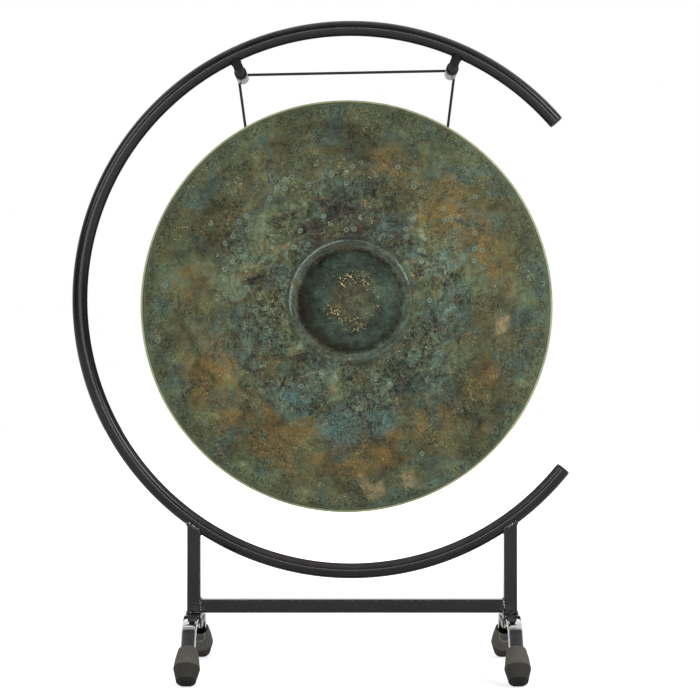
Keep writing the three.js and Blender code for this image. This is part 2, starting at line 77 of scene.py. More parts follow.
# Points evenly spaced along a line of points, about step apart.
def evenly(points, step):
    points = np.asarray(points, float)
    run = np.append(0, np.cumsum(np.linalg.norm(np.diff(points, axis=0), axis=1)))
    wanted = np.linspace(0, run[-1], max(int(round(run[-1] / step)), 1) + 1)
    return np.stack([np.interp(wanted, run, points[:, k]) for k in range(points.shape[1])], -1)


# A line of points with each inner corner rounded: a quadratic curve that starts and ends
# a cut's length from the corner.
def softened(points, cut, steps=4):
    points = np.asarray(points, float)
    share = np.linspace(0, 1, steps + 1)[:, None]
    most = 0.45  # of the side before or after, so that two cuts never meet
    parts = [points[:1]]
    for before, corner, after in zip(points[:-2], points[1:-1], points[2:]):
        back, on = before - corner, after - corner
        reach = min(cut, most * np.linalg.norm(back), most * np.linalg.norm(on))
        start = corner + back / np.linalg.norm(back) * reach
        stop = corner + on / np.linalg.norm(on) * reach
        parts.append((1 - share) ** 2 * start + 2 * share * (1 - share) * corner + share**2 * stop)
    return np.vstack(parts + [points[-1:]])


# A turned shape about Z: radius times cosine and sine round it, and the profile's height.
def lathe(profile, sides):
    radius, height = np.asarray(profile, float).T[:, :, None]
    angle = np.linspace(0, 2 * np.pi, sides, endpoint=False)[None, :]
    return np.stack([radius * np.cos(angle), radius * np.sin(angle), height + 0 * angle], -1)


# A section carried along a path: each of its points goes out along the path's side vector
# and up its top vector, both square to the way ahead.
def sweep(path, section, up):
    ahead = np.gradient(path, axis=0)
    ahead /= np.linalg.norm(ahead, axis=1, keepdims=True)
    side = np.cross(ahead, up)
    side /= np.linalg.norm(side, axis=1, keepdims=True)
    top = np.cross(side, ahead)
    return path[:, None] + section[..., :1] * side[:, None] + section[..., 1:2] * top[:, None]


# The outline of a square with rounded corners: four quarter circles joined by straight runs.
def roundedSquare(half, corner, perCorner=7, perSide=5):
    inner = half - corner
    middles = np.array([(inner, inner), (-inner, inner), (-inner, -inner), (inner, -inner)])
    bends = [arcLine(middle, corner, 90 * k, 90 * k + 90, perCorner) for k, middle in enumerate(middles)]
    share = np.linspace(0, 1, perSide + 2)[1:-1, None]
    parts = []
    for bend, ahead in zip(bends, bends[1:] + bends[:1]):
        parts += [bend, bend[-1] * (1 - share) + ahead[0] * share]
    return np.vstack(parts)


# A body from a grid of points. Rows run along it and columns close round it; the rows may
# close too, or their ends are closed with a fan about each end's middle, or with a strip
# between two skins. A mark is a value, or a grid of values, for each point.
def gridShape(points, marks, closeRows=False, ends="fan"):
    rows, columns = points.shape[:2]
    index = np.arange(rows * columns).reshape(rows, columns)
    full = np.vstack([index, index[:1]]) if closeRows else index
    full = np.hstack([full, full[:, :1]])
    quads = np.stack([full[:-1, :-1], full[:-1, 1:], full[1:, 1:], full[1:, :-1]], -1).reshape(-1, 4)
    flat = points.reshape(-1, 3)
    tris = np.zeros((0, 3), int)
    marks = {key: np.broadcast_to(value, (rows, columns)).reshape(-1) for key, value in marks.items()}
    if not closeRows and ends == "fan":
        for end, line in enumerate((index[0], index[-1])):
            hub = len(flat)
            flat = np.vstack([flat, flat[line].mean(0)])
            marks = {key: np.append(value, value[line].mean()) for key, value in marks.items()}
            fan = np.stack([line, np.full(columns, hub), np.roll(line, -1)], -1)
            tris = np.vstack([tris, fan if end == 0 else fan[:, ::-1]])
    if not closeRows and ends == "strip":
        half = columns // 2
        near = np.arange(half - 1)
        strip = np.stack([near, near + 1, columns - 2 - near, columns - 1 - near], -1)
        quads = np.vstack([quads, index[0][strip][:, ::-1], index[-1][strip]])
    corners = flat[np.vstack([quads[:, :3], quads[:, [0, 2, 3]], tris])]
    volume = np.einsum("ij,ij->i", corners[:, 0], np.cross(corners[:, 1], corners[:, 2])).sum()
    if volume < 0:
        quads, tris = quads[:, ::-1], tris[:, ::-1]
    return {"points": flat, "quads": quads, "tris": tris, "marks": marks}


# An object from one or more bodies, in metres, with its marks as point attributes.
def meshObject(name, shapes, sharp=35):
    start = np.cumsum([0] + [len(shape["points"]) for shape in shapes])
    faces = []
    for shape, first in zip(shapes, start):
        faces += (shape["quads"] + first).tolist() + (shape["tris"] + first).tolist()
    mesh = bpy.data.meshes.new(name)
    mesh.from_pydata(np.vstack([shape["points"] for shape in shapes]) * metre, [], faces)
    for key in shapes[0]["marks"]:
        attribute = mesh.attributes.new(key, "FLOAT", "POINT")
        values = np.concatenate([shape["marks"][key] for shape in shapes])
        attribute.data.foreach_set("value", values.astype(np.float32))
    mesh.shade_smooth()
    mesh.set_sharp_from_angle(angle=math.radians(sharp))
    thing = bpy.data.objects.new(name, mesh)
    bpy.context.scene.collection.objects.link(thing)
    return thing


# Cuts closed shapes out of an object, one after another, and keeps the result as its mesh.
def cutAway(thing, shapes, sharp=35):
    tools = [meshObject(thing.name + "_tool", [shape]) for shape in shapes]
    for tool in tools:
        cutter = thing.modifiers.new("cut", "BOOLEAN")
        cutter.operation, cutter.solver, cutter.object = "DIFFERENCE", "EXACT", tool
    bpy.context.view_layer.update()
    graph = bpy.context.evaluated_depsgraph_get()
    made = bpy.data.meshes.new_from_object(thing.evaluated_get(graph))
    thing.modifiers.clear()
    thing.data = made
    for tool in tools:
        bpy.data.objects.remove(tool)
    made.shade_smooth()
    made.set_sharp_from_angle(angle=math.radians(sharp))


# Rounds an object's sharp edges with a live bevel.
def bevelled(thing, width):
    edge = thing.modifiers.new("edges", "BEVEL")
    edge.width = width * metre
    edge.segments = 2
    edge.limit_method = "ANGLE"
    edge.angle_limit = math.radians(40)
    edge.harden_normals = True


# Gives an object its finish and its body, and hides the nodes that it stands for.
def finished(thing, finish, slot, body, *nodes):
    thing.data.materials.clear()
    thing.data.materials.append(finish)
    if body:
        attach(thing, body)
    if nodes:
        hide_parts(*nodes)
    return thing


# What follows makes the finishes. A noise in a dictionary is its scale, detail, roughness and
# distortion. Patches are a noise and then its low and high end, which are taken to 0 and 1.

# A colour written as screen values from 0 to 255, made linear.
def colour(red, green, blue):
    share = np.array([red, green, blue]) / 255
    linear = np.where(share <= 0.04045, share / 12.92, ((share + 0.055) / 1.055) ** 2.4)
    return (*linear.tolist(), 1.0)


# Sets a socket to a value, or links it to another socket.
def give(tree, socket, value):
    if isinstance(value, bpy.types.NodeSocket):
        tree.links.new(value, socket)
    else:
        socket.default_value = value


# Adds a node. Inputs are a dictionary of socket name or number to a value or another socket.
def put(tree, kind, inputs=None, **settings):
    node = tree.nodes.new(kind)
    for key, value in settings.items():
        setattr(node, key, value)
    for key, value in (inputs or {}).items():
        give(tree, node.inputs[key], value)
    return node


def maths(tree, operation, *values, clamp=False):
    node = put(tree, "ShaderNodeMath", dict(enumerate(values)), operation=operation, use_clamp=clamp)
    return node.outputs[0]


# One operation over several values, from the first to the last.
def chain(tree, operation, values):
    out = values[0]
    for value in values[1:]:
        out = maths(tree, operation, out, value)
    return out


def times(tree, *values):
    return chain(tree, "MULTIPLY", values)


def plus(tree, *values):
    return chain(tree, "ADD", values)


def most(tree, *values):
    return chain(tree, "MAXIMUM", values)


# A value times a share, plus a level.
def scaled(tree, value, share, level):
    return plus(tree, times(tree, value, share), level)


# Vector arithmetic. It gives a vector, or a value for a length, a distance and a dot product.
def vectors(tree, operation, *values):
    node = put(tree, "ShaderNodeVectorMath", dict(enumerate(values)), operation=operation)
    return node.outputs["Value" if operation in ("LENGTH", "DISTANCE", "DOT_PRODUCT") else "Vector"]


def split(tree, vector):
    return put(tree, "ShaderNodeSeparateXYZ", {0: vector}).outputs


def mixed(tree, factor, first, second, mode="MIX"):
    inputs = {0: factor, 6: first, 7: second}
    return put(tree, "ShaderNodeMix", inputs, data_type="RGBA", blend_type=mode).outputs[2]


def mixedValue(tree, factor, first, second):
    return put(tree, "ShaderNodeMix", {0: factor, 2: first, 3: second}).outputs[0]


# A value taken smoothly from one range to another.
def ranged(tree, value, low, high, newLow=0.0, newHigh=1.0):
    inputs = {"Value": value, "From Min": low, "From Max": high, "To Min": newLow, "To Max": newHigh}
    return put(tree, "ShaderNodeMapRange", inputs, interpolation_type="SMOOTHSTEP").outputs[0]


def noise(tree, vector, scale, detail, roughness, distortion=0.0):
    inputs = {"Vector": vector, "Scale": scale, "Detail": detail}
    inputs |= {"Roughness": roughness, "Distortion": distortion}
    return put(tree, "ShaderNodeTexNoise", inputs).outputs["Fac"]


def patches(tree, vector, scale, detail, roughness, distortion, *levels):
    return ranged(tree, noise(tree, vector, scale, detail, roughness, distortion), *levels)


def marked(tree, name):
    return put(tree, "ShaderNodeAttribute", attribute_name=name).outputs["Fac"]


# The piece's own coordinates, in metres, from a chosen middle and drawn out by a scale.
def placeOf(tree, middle=None, scale=None):
    own = put(tree, "ShaderNodeTexCoord").outputs["Object"]
    if middle:
        own = vectors(tree, "SUBTRACT", own, middle)
    return put(tree, "ShaderNodeMapping", {"Vector": own, "Scale": scale}).outputs[0] if scale else own


# A node group with named sockets: each is a name, a kind and a default.
def effectGroup(name, inputs, outputs):
    tree = bpy.data.node_groups.new(name, "ShaderNodeTree")
    for label, kind, default in inputs:
        socket = tree.interface.new_socket(label, in_out="INPUT", socket_type="NodeSocket" + kind)
        if default is not None:
            socket.default_value = default
    for label, kind in outputs:
        tree.interface.new_socket(label, in_out="OUTPUT", socket_type="NodeSocket" + kind)
    return tree, tree.nodes.new("NodeGroupInput").outputs, tree.nodes.new("NodeGroupOutput").inputs


def effect(tree, group, **inputs):
    node = put(tree, "ShaderNodeGroup", node_tree=group)
    for key, value in inputs.items():
        give(tree, node.inputs[key.capitalize()], value)
    return node.outputs


effectSet = {
    "coarse": (3.0, 0.5), "fine": (2.0, 0.5), "grainRange": (0.35, 0.65), "broken": (260.0, 6.0, 0.7),
    "wornRange": (0.78, 1.0), "specks": (420.0, 2.0, 0.5, 0.0, 0.72, 0.8),
    "facing": (-0.2, 1.0, 0.15, 1.0), "settled": (45.0, 5.0, 0.6, 0.0, 0.35, 0.75),
}


# Fine grain: two noises, one some times finer than the other, as a height and a mask.
def makeGrain():
    tree, given, out = effectGroup(
        "grain",
        [("Vector", "Vector", None), ("Scale", "Float", 800.0), ("Finer", "Float", 3.0),
         ("Share", "Float", 0.4)],
        [("Height", "Float"), ("Mask", "Float")],
    )
    coarse = noise(tree, given["Vector"], given["Scale"], *effectSet["coarse"])
    finer = times(tree, given["Scale"], given["Finer"])
    fine = noise(tree, given["Vector"], finer, *effectSet["fine"])
    both = mixedValue(tree, given["Share"], coarse, fine)
    tree.links.new(both, out["Height"])
    tree.links.new(ranged(tree, both, *effectSet["grainRange"]), out["Mask"])
    return tree


# Wear: strongest where the edge mark is 1, broken up by noise, plus rare small specks.
def makeWear():
    tree, given, out = effectGroup(
        "wear",
        [("Vector", "Vector", None), ("Edge", "Float", 0.0), ("Amount", "Float", 0.5),
         ("Specks", "Float", 0.3)],
        [("Mask", "Float")],
    )
    broken = noise(tree, given["Vector"], *effectSet["broken"])
    edge = times(tree, given["Edge"], given["Amount"])
    worn = ranged(tree, plus(tree, broken, edge), *effectSet["wornRange"])
    specks = times(tree, patches(tree, given["Vector"], *effectSet["specks"]), given["Specks"])
    tree.links.new(most(tree, worn, specks), out["Mask"])
    return tree


# Dust: settles where the surface looks up, and in soft patches.
def makeDust():
    inputs = [("Vector", "Vector", None), ("Amount", "Float", 0.3)]
    tree, given, out = effectGroup("dust", inputs, [("Mask", "Float")])
    normal = tree.nodes.new("ShaderNodeNewGeometry").outputs["Normal"]
    facing = ranged(tree, split(tree, normal)["Z"], *effectSet["facing"])
    settled = patches(tree, given["Vector"], *effectSet["settled"])
    tree.links.new(times(tree, facing, settled, given["Amount"]), out["Mask"])
    return tree


grain, wear, dust = makeGrain(), makeWear(), makeDust()


# A new material: its tree and its shader, with constants set on the shader's own sockets.
def newFinish(name, **constants):
    material = bpy.data.materials.new(name)
    material.use_nodes = True
    shader = material.node_tree.nodes["Principled BSDF"]
    for key, value in constants.items():
        shader.inputs[key.replace("_", " ")].default_value = value
    return material, material.node_tree, shader


# Joins a finish to its shader: its colour, its roughness, and its height as a bump, with the
# bump's strength and its depth in millimetres.
def surfaced(tree, shader, tone, rough, height, strength, depth):
    tree.links.new(tone, shader.inputs["Base Color"])
    tree.links.new(rough, shader.inputs["Roughness"])
    inputs = {"Height": height, "Strength": strength, "Distance": depth * metre}
    tree.links.new(put(tree, "ShaderNodeBump", inputs).outputs[0], shader.inputs["Normal"])


paintSet = {
    "paint": (16, 15, 16), "thin": (31, 29, 31), "bare": (112, 108, 102), "dust": (84, 80, 78),
    "paintedGlint": (190, 186, 176), "specular": 0.28, "peel": {"scale": 620.0, "finer": 3.5, "share": 0.3},
    "wear": {"amount": 0.34, "specks": 0.1}, "wearAmount": 0.55,
    "thinPatches": (22.0, 4.0, 0.6, 0.0, 0.3, 0.7), "thinAmount": 0.5, "thinEdge": 0.35,
    "dustAmount": 0.08, "topDustAndLight": (0.36, 0.5), "paintedGlintDrops": (420.0, 2.0, 0.6, 0.8, 0.55, 0.6),
    "rough": (0.18, 0.21), "dustRough": 0.15, "matteRough": 0.7, "bump": (0.05, 0.04),
}


# Satin black powder coat: orange peel, thinner and greyer on edges and in patches, with a
# little dust, more of it along the ring's upper side where it is also painted light, pale specks on the beads
# painted as glints, and matt pegs.
def makePaint():
    kit = paintSet
    material, tree, shader = newFinish("blackPaint", Metallic=0.0, Specular_IOR_Level=kit["specular"])
    place, edge = placeOf(tree), marked(tree, "edge")
    peel = effect(tree, grain, vector=place, **kit["peel"])
    worn = effect(tree, wear, vector=place, edge=edge, **kit["wear"])["Mask"]
    cloudy = patches(tree, place, *kit["thinPatches"])
    thin = colour(*kit["thin"])
    tone = mixed(tree, times(tree, cloudy, kit["thinAmount"]), colour(*kit["paint"]), thin)
    tone = mixed(tree, times(tree, edge, kit["thinEdge"]), tone, thin)
    tone = mixed(tree, times(tree, worn, kit["wearAmount"]), tone, colour(*kit["bare"]))
    film = effect(tree, dust, vector=place, amount=kit["dustAmount"])["Mask"]
    # dust along the ring's upper side, which also serves as painted light on that side
    dustAndLightOnTop = times(tree, marked(tree, "dustAndLightTop"), ranged(tree, cloudy, 0.0, 1.0, *kit["topDustAndLight"]))
    film = most(tree, film, dustAndLightOnTop)
    tone = mixed(tree, film, tone, colour(*kit["dust"]))
    # pale specks on the weld beads: painted glints
    drops = times(tree, patches(tree, place, *kit["paintedGlintDrops"]), marked(tree, "bead"))
    tone = mixed(tree, drops, tone, colour(*kit["paintedGlint"]))
    rough = ranged(tree, peel["Mask"], 0.0, 1.0, *kit["rough"])
    rough = plus(tree, rough, times(tree, film, kit["dustRough"]))
    rough = maths(tree, "ADD", rough, times(tree, marked(tree, "matte"), kit["matteRough"]), clamp=True)
    surfaced(tree, shader, tone, rough, peel["Height"], *kit["bump"])
    return material


capSet = {
    "plastic": (30, 30, 30), "pale": (38, 38, 38), "scuffed": (66, 65, 63), "rough": (0.45, 0.6),
    "skin": {"scale": 1600.0, "finer": 2.5, "share": 0.5}, "wear": {"amount": 0.4, "specks": 0.2},
    "bump": (0.4, 0.1),
}


# Moulded plastic: matt, with a fine spark-eroded grain and scuffed edges.
def makeCapPlastic():
    kit = capSet
    material, tree, shader = newFinish("capPlastic", Metallic=0.0)
    place = placeOf(tree)
    skin = effect(tree, grain, vector=place, **kit["skin"])
    worn = effect(tree, wear, vector=place, edge=marked(tree, "edge"), **kit["wear"])["Mask"]
    tone = mixed(tree, skin["Mask"], colour(*kit["plastic"]), colour(*kit["pale"]))
    tone = mixed(tree, worn, tone, colour(*kit["scuffed"]))
    rough = ranged(tree, skin["Mask"], 0.0, 1.0, *kit["rough"])
    surfaced(tree, shader, tone, rough, skin["Height"], *kit["bump"])
    return material


chromeSet = {
    "chrome": (214, 214, 216), "tarnish": (150, 141, 130), "haze": (70.0, 5.0, 0.6, 0.0, 0.45, 0.8),
    "scratches": (900.0, 2.0, 0.6, 0.0, 0.6, 0.8), "scratchDraw": (1.0, 0.06, 0.06),
    "waves": (160.0, 3.0, 0.5), "wear": {"amount": 0.3, "specks": 0.4}, "hazeAmount": 0.35,
    "wearAmount": 0.6, "rough": 0.07, "hazeRough": 0.1, "scratchRough": 0.12, "wearRough": 0.25,
    "bump": (0.12, 0.12),
}


# Bright plate: clear, with faint hazy patches, hair scratches and duller edges.
def makeChrome():
    kit = chromeSet
    material, tree, shader = newFinish("legChrome", Metallic=1.0)
    place, tarnish = placeOf(tree), colour(*kit["tarnish"])
    haze = patches(tree, place, *kit["haze"])
    hair = patches(tree, placeOf(tree, scale=kit["scratchDraw"]), *kit["scratches"])
    worn = effect(tree, wear, vector=place, edge=marked(tree, "edge"), **kit["wear"])["Mask"]
    tone = mixed(tree, times(tree, haze, kit["hazeAmount"]), colour(*kit["chrome"]), tarnish)
    tone = mixed(tree, times(tree, worn, kit["wearAmount"]), tone, tarnish)
    dull = plus(tree, times(tree, haze, kit["hazeRough"]), times(tree, hair, kit["scratchRough"]))
    rough = plus(tree, dull, times(tree, worn, kit["wearRough"]), kit["rough"])
    surfaced(tree, shader, tone, rough, noise(tree, place, *kit["waves"]), *kit["bump"])
    return material


zincSet = {
    "zinc": (178, 179, 180), "grey": (132, 130, 126), "worn": (92, 86, 78), "rough": (0.22, 0.42),
    "spangle": (700.0, 4.0, 0.65, 0.0, 0.3, 0.75), "wear": {"amount": 0.4, "specks": 0.5},
    "bump": (0.2, 0.05),
}


# Plated rivet: lightly brushed zinc with darker, duller spots.
def makeZinc():
    kit = zincSet
    material, tree, shader = newFinish("rivetZinc", Metallic=1.0)
    place = placeOf(tree)
    spangle = patches(tree, place, *kit["spangle"])
    worn = effect(tree, wear, vector=place, edge=marked(tree, "edge"), **kit["wear"])["Mask"]
    tone = mixed(tree, spangle, colour(*kit["zinc"]), colour(*kit["grey"]))
    tone = mixed(tree, worn, tone, colour(*kit["worn"]))
    surfaced(tree, shader, tone, ranged(tree, spangle, 0.0, 1.0, *kit["rough"]), spangle, *kit["bump"])
    return material


rubberSet = {
    # low is the painted shade of the lower cone and the tip; rim is a painted highlight line
    "rubber": (86, 84, 78), "bloom": (94, 91, 85), "scuffed": (116, 112, 105), "low": (28, 28, 25),
    "rim": (158, 155, 146), "specular": 0.15, "skin": {"scale": 1100.0, "finer": 2.8, "share": 0.45},
    "bloomPatches": (60.0, 6.0, 0.65, 0.0, 0.35, 0.75), "bloomAmount": 0.35,
    "wear": {"amount": 0.45, "specks": 0.2}, "wearAmount": 0.7, "dustAmount": 0.85, "lowShadeAmount": 0.9,
    "rough": (0.58, 0.75), "bump": (0.35, 0.15),
}


# Moulded rubber: fine grain, a paler bloom in patches, scuffed rims, settled dust that is also painted light
# on the upward faces, painted shade on the lower cone and the tip where the low mark is, and a painted
# highlight line where the rim mark is.
def makeRubber():
    kit = rubberSet
    material, tree, shader = newFinish("footRubber", Metallic=0.0, Specular_IOR_Level=kit["specular"])
    place, bloomed = placeOf(tree), colour(*kit["bloom"])
    skin = effect(tree, grain, vector=place, **kit["skin"])
    bloom = times(tree, patches(tree, place, *kit["bloomPatches"]), kit["bloomAmount"])
    tone = mixed(tree, bloom, colour(*kit["rubber"]), bloomed)
    worn = effect(tree, wear, vector=place, edge=marked(tree, "edge"), **kit["wear"])["Mask"]
    tone = mixed(tree, times(tree, worn, kit["wearAmount"]), tone, colour(*kit["scuffed"]))
    # dust, so strong on the rubber that it also serves as painted light on the upward faces
    film = effect(tree, dust, vector=place, amount=kit["dustAmount"])["Mask"]
    tone = mixed(tree, film, tone, bloomed)
    # painted shade: the lower cone and the tip, which face down, made darker
    tone = mixed(tree, times(tree, marked(tree, "low"), kit["lowShadeAmount"]), tone, colour(*kit["low"]))
    # painted highlight along the lip round the notch and round the tip's recess
    tone = mixed(tree, marked(tree, "rim"), tone, colour(*kit["rim"]))
    rough = ranged(tree, skin["Mask"], 0.0, 1.0, *kit["rough"])
    surfaced(tree, shader, tone, rough, skin["Height"], *kit["bump"])
    return material


vinylSet = {
    "vinyl": (178, 178, 175), "cloud": (136, 135, 132), "stain": (24, 23, 22), "dust": (140, 136, 130),
    "through": 0.4, "bend": 1.46, "clouds": (90.0, 5.0, 0.6, 0.0, 0.3, 0.75), "dustAmount": 0.3,
    "stainEnd": 0.057, "stainFade": 0.004, "stainWander": 0.003, "stainRough": 0.5,
    "rough": (0.3, 0.45), "waves": (240.0, 3.0, 0.5), "bump": (0.2, 0.2),
}


# Soft vinyl tube: cloudy and half clear towards its end, and stained black nearer the ring, up
# to a wandering line across its length.
def makeVinyl():
    kit = vinylSet
    clear = {"Transmission_Weight": kit["through"], "IOR": kit["bend"]}
    material, tree, shader = newFinish("sleeveVinyl", Metallic=0.0, **clear)
    place = placeOf(tree)
    cloud = patches(tree, place, *kit["clouds"])
    tone = mixed(tree, cloud, colour(*kit["vinyl"]), colour(*kit["cloud"]))
    film = effect(tree, dust, vector=place, amount=kit["dustAmount"])["Mask"]
    tone = mixed(tree, film, tone, colour(*kit["dust"]))
    back = plus(tree, split(tree, place)["Y"], times(tree, cloud, kit["stainWander"]))
    clean = ranged(tree, back, kit["stainEnd"], kit["stainEnd"] + kit["stainFade"])
    tone = mixed(tree, clean, colour(*kit["stain"]), tone)
    dull = times(tree, maths(tree, "SUBTRACT", 1.0, clean), kit["stainRough"])
    rough = plus(tree, ranged(tree, cloud, 0.0, 1.0, *kit["rough"]), dull)
    surfaced(tree, shader, tone, rough, noise(tree, place, *kit["waves"]), *kit["bump"])
    return material


cordSet = {
    "yarn": (13, 12, 14), "groove": (5, 5, 6), "lint": (34, 32, 34), "sheen": 0.08, "sheenRough": 0.5,
    "fibre": (1900.0, 3.0, 0.6), "fibreDraw": (1.0, 1.0, 3.0), "grooveEnd": 0.8, "lintAmount": 0.5,
    "lintSpecks": (1300.0, 4.0, 0.7, 0.0, 0.6, 0.8), "rough": (0.3, 0.7, 0.7, 0.9), "bump": (0.5, 0.15),
}


# Twisted cord: painted shade between its strands, with fine fibres and a little lint.
def makeCordYarn():
    kit = cordSet
    sheen = {"Sheen_Weight": kit["sheen"], "Sheen_Roughness": kit["sheenRough"]}
    material, tree, shader = newFinish("cordBraid", Metallic=0.0, **sheen)
    fibre = noise(tree, placeOf(tree, scale=kit["fibreDraw"]), *kit["fibre"])
    # painted shade in the grooves between the strands
    strand = ranged(tree, marked(tree, "strand"), 0.0, kit["grooveEnd"])
    tone = mixed(tree, strand, colour(*kit["groove"]), colour(*kit["yarn"]))
    lint = times(tree, patches(tree, placeOf(tree), *kit["lintSpecks"]), kit["lintAmount"])
    tone = mixed(tree, lint, tone, colour(*kit["lint"]))
    surfaced(tree, shader, tone, ranged(tree, fibre, *kit["rough"]), fibre, *kit["bump"])
    return material


gongSet = {
    "middle": (37.173, 106.571, 529.95), "bossOffset": (6.0, 8.0), "radius": 311.4, "sheet": 2.2,
    "rimSheet": 3.4, "shoulder": 14.0, "rimDepth": 68.0, "rimTaper": 15.0, "domeFoot": -10.25,
    "domeRise": 31.75, "boss": 75.0, "dents": 620, "dentDepth": (0.2, 0.75), "dentRadius": (6.0, 13.0),
    "columns": 300, "holeRadius": 3.0,
}
patinaTones = {
    "olive": (76, 75, 47), "sage": (88, 97, 68), "teal": (66, 88, 78), "blue": (74, 104, 102),
    "rust": (108, 86, 44), "brown": (58, 50, 32), "umber": (100, 82, 56), "redBrown": (52, 43, 33),
    "gold": (176, 146, 80), "cream": (224, 204, 140), "pale": (108, 124, 106), "deep": (34, 33, 24),
    "tan": (130, 116, 84), "haze": (96, 110, 86), "hammered": (116, 136, 122), "dome": (38, 49, 41),
    "domeLight": (62, 77, 64), "domePaintedLight": (68, 84, 68), "domePaintedShade": (40, 39, 26),
    "crown": (58, 55, 38), "crownLight": (78, 78, 56), "crownGreen": (80, 94, 74),
    "crownRim": (44, 40, 28), "bossFootShade": (38, 34, 22), "collar": (52, 58, 48),
    "collarLight": (94, 106, 92), "turnedLine": (150, 170, 162), "edgeDull": (140, 146, 108),
    # edge: worn bronze that is also the painted highlight on the rim's corner
    "edge": (194, 198, 150),
}
# Each noise of the patina: how far its points are shifted, its scale, detail, roughness and
# distortion. Where it is spread, its low and high end follow, and then what they become.
patinaNoises = {
    "large": (0, 11.0, 5.0, 0.55, 0.6, 0.4, 0.6), "cloud": (0, 27.0, 4.0, 0.52, 0.9, 0.38, 0.62),
    "small": (0, 62.0, 5.0, 0.6, 0.8, 0.36, 0.64), "fine": (0, 280.0, 3.0, 0.7, 2.6),
    "mottle": (1.3, 90.0, 4.0, 0.62, 3.6), "blotch": (2.0, 36.0, 5.0, 0.6, 1.4),
    "swell": (4.0, 14.0, 3.0, 0.5, 0.8), "arcs": (0, 52.0, 5.0, 0.62, 1.0),
    "busy": (0.6, 24.0, 4.0, 0.6, 0.0, 0.4, 0.62, 0.35, 1.5), "teal": (0.4, 17.0, 5.0, 0.58, 0.9),
    "brown": (0.9, 27.0, 5.0, 0.6, 1.2, 0.5, 0.62), "pale": (1.1, 48.0, 4.0, 0.55, 1.4, 0.53, 0.62),
    "umber": (3.7, 56.0, 4.0, 0.55, 1.2, 0.55, 0.64), "deep": (1.6, 40.0, 5.0, 0.6, 1.6, 0.52, 0.64),
    "rust": (-0.3, 26.0, 5.0, 0.6, 1.0, 0.35, 0.56),
    "goldCluster": (3.1, 40.0, 4.0, 0.6, 0.0, 0.5, 0.62),
    "goldSpeck": (2.4, 380.0, 2.0, 0.6, 1.0, 0.55, 0.64),
    "creamFleck": (2.1, 430.0, 2.0, 0.6, 1.8, 0.62, 0.68),
    "creamCluster": (1.7, 32.0, 5.0, 0.66, 0.0, 0.55, 0.64),
    "crownGap": (0.2, 30.0, 3.0, 0.5, 0.0, 0.42, 0.56),
    "crownFleck": (2.9, 330.0, 2.0, 0.6, 1.0, 0.57, 0.66),
    "turnedLine": (0, 520.0, 3.0, 0.6, 0.0, 0.42, 0.64),
    "broken": (0, 24.0, 5.0, 0.7, 0.0, 0.36, 0.58, 0.25, 1.0),
}
# Shares that are larger towards the middle: what is added inside, and what holds all over.
patinaShares = {
    "brown": (0.3, 0.42), "pale": (0.6, 0.15), "umber": (0.6, 0.15), "deep": (0.45, 0.35),
    "busy": (0.3, 0.65), "small": (0.25, 0.25), "blotch": (2.4, 1.5), "swell": (0, 2.0),
    "cloud": (0, 0.3), "arcs": (1.5, 0.9), "strokes": (0.45, 0.55),
}
# Named places: millimetres across and up from the gong's middle, the radius and the softness.
patinaSpots = {
    "rust": (
        (-205, -90, 20, 40), (-165, -165, 18, 38), (-70, -215, 24, 40), (10, -228, 20, 36),
        (-120, -192, 20, 36), (66, -212, 12, 34), (-214, -130, 10, 30), (128, -172, 14, 34),
        (205, -110, 10, 30), (60, 206, 14, 32), (140, 146, 24, 36), (190, 92, 16, 32), (232, 58, 10, 28),
        (-240, 34, 8, 22),
    ),
    "redBrown": ((0, 118, 22, 30), (66, 118, 14, 26), (-40, 108, 12, 26)),
    "blue": ((-8, -182, 14, 32), (44, -176, 12, 28), (-84, -146, 12, 26), (62, 122, 6, 18)),
    "disc": ((-134, 124, 13, 6), (-165, 78, 15, 6), (-167, 24, 11, 6), (88, 60, 9, 6), (-96, -152, 10, 6)),
    "tan": (
        (42, -276, 13, 8), (24, -262, 9, 7), (-66, -289, 8, 6), (96, -262, 7, 6), (233, -30, 8, 7),
        (214, -186, 6, 6),
    ),
    "crown": ((9, 8, 24, 16),), "crownGreen": ((28, -6, 8, 9),),
    "turnedLine": ((-58, 74, 26, 18), (-20, 98, 10, 16), (-88, 12, 14, 20), (84, 56, 10, 16)),
}
# Lighter and darker regions: across, up, radius, softness and level.
patinaRegions = (
    (0, 120, 60, 50, -0.3), (95, 130, 50, 50, 0.1), (175, 95, 45, 50, 0.22), (-125, 20, 40, 50, 0.14),
    (95, -80, 60, 50, -0.14), (-215, -150, 55, 50, -0.14), (215, -130, 50, 50, -0.1),
    (-150, 150, 50, 50, -0.06),
)
# Ring masks, in millimetres from the middle: where each starts and stops, and how softly.
patinaBands = {
    "rust": (196, 258, 18), "marksFar": (186, 214, 4), "marksNear": (104, 138, 6),
    "creamEdge": (284, 305, 5), "crownRim": (25, 42, 5), "bossFootShade": (67, 82, 6), "collar": (80, 98, 4),
    "turnedLine": (89.5, 92.0, 0.9), "rim": (288, 303, 4), "rimLight": (303.5, 306.0, 0.8),
    "rimDark": (306.0, 307.8, 0.6),
}
# Thin outlines, where a slow noise passes its middle: its scale and shift, the tone and level.
patinaOutlines = ((58.0, 4.1, "deep", 0.5), (90.0, 4.9, "deep", 0.4), (74.0, 5.6, "haze", 0.75))
# Strokes: patch scale, stroke scale, the noise's low and high end, shift, tone and level.
patinaStrokes = (
    (28.0, 200.0, 0.53, 0.6, 0.0, "deep", 1.0), (36.0, 330.0, 0.53, 0.6, 0.7, "deep", 0.85),
    (30.0, 150.0, 0.54, 0.64, 1.9, "haze", 0.7), (26.0, 240.0, 0.54, 0.64, 2.6, "rust", 0.45),
)
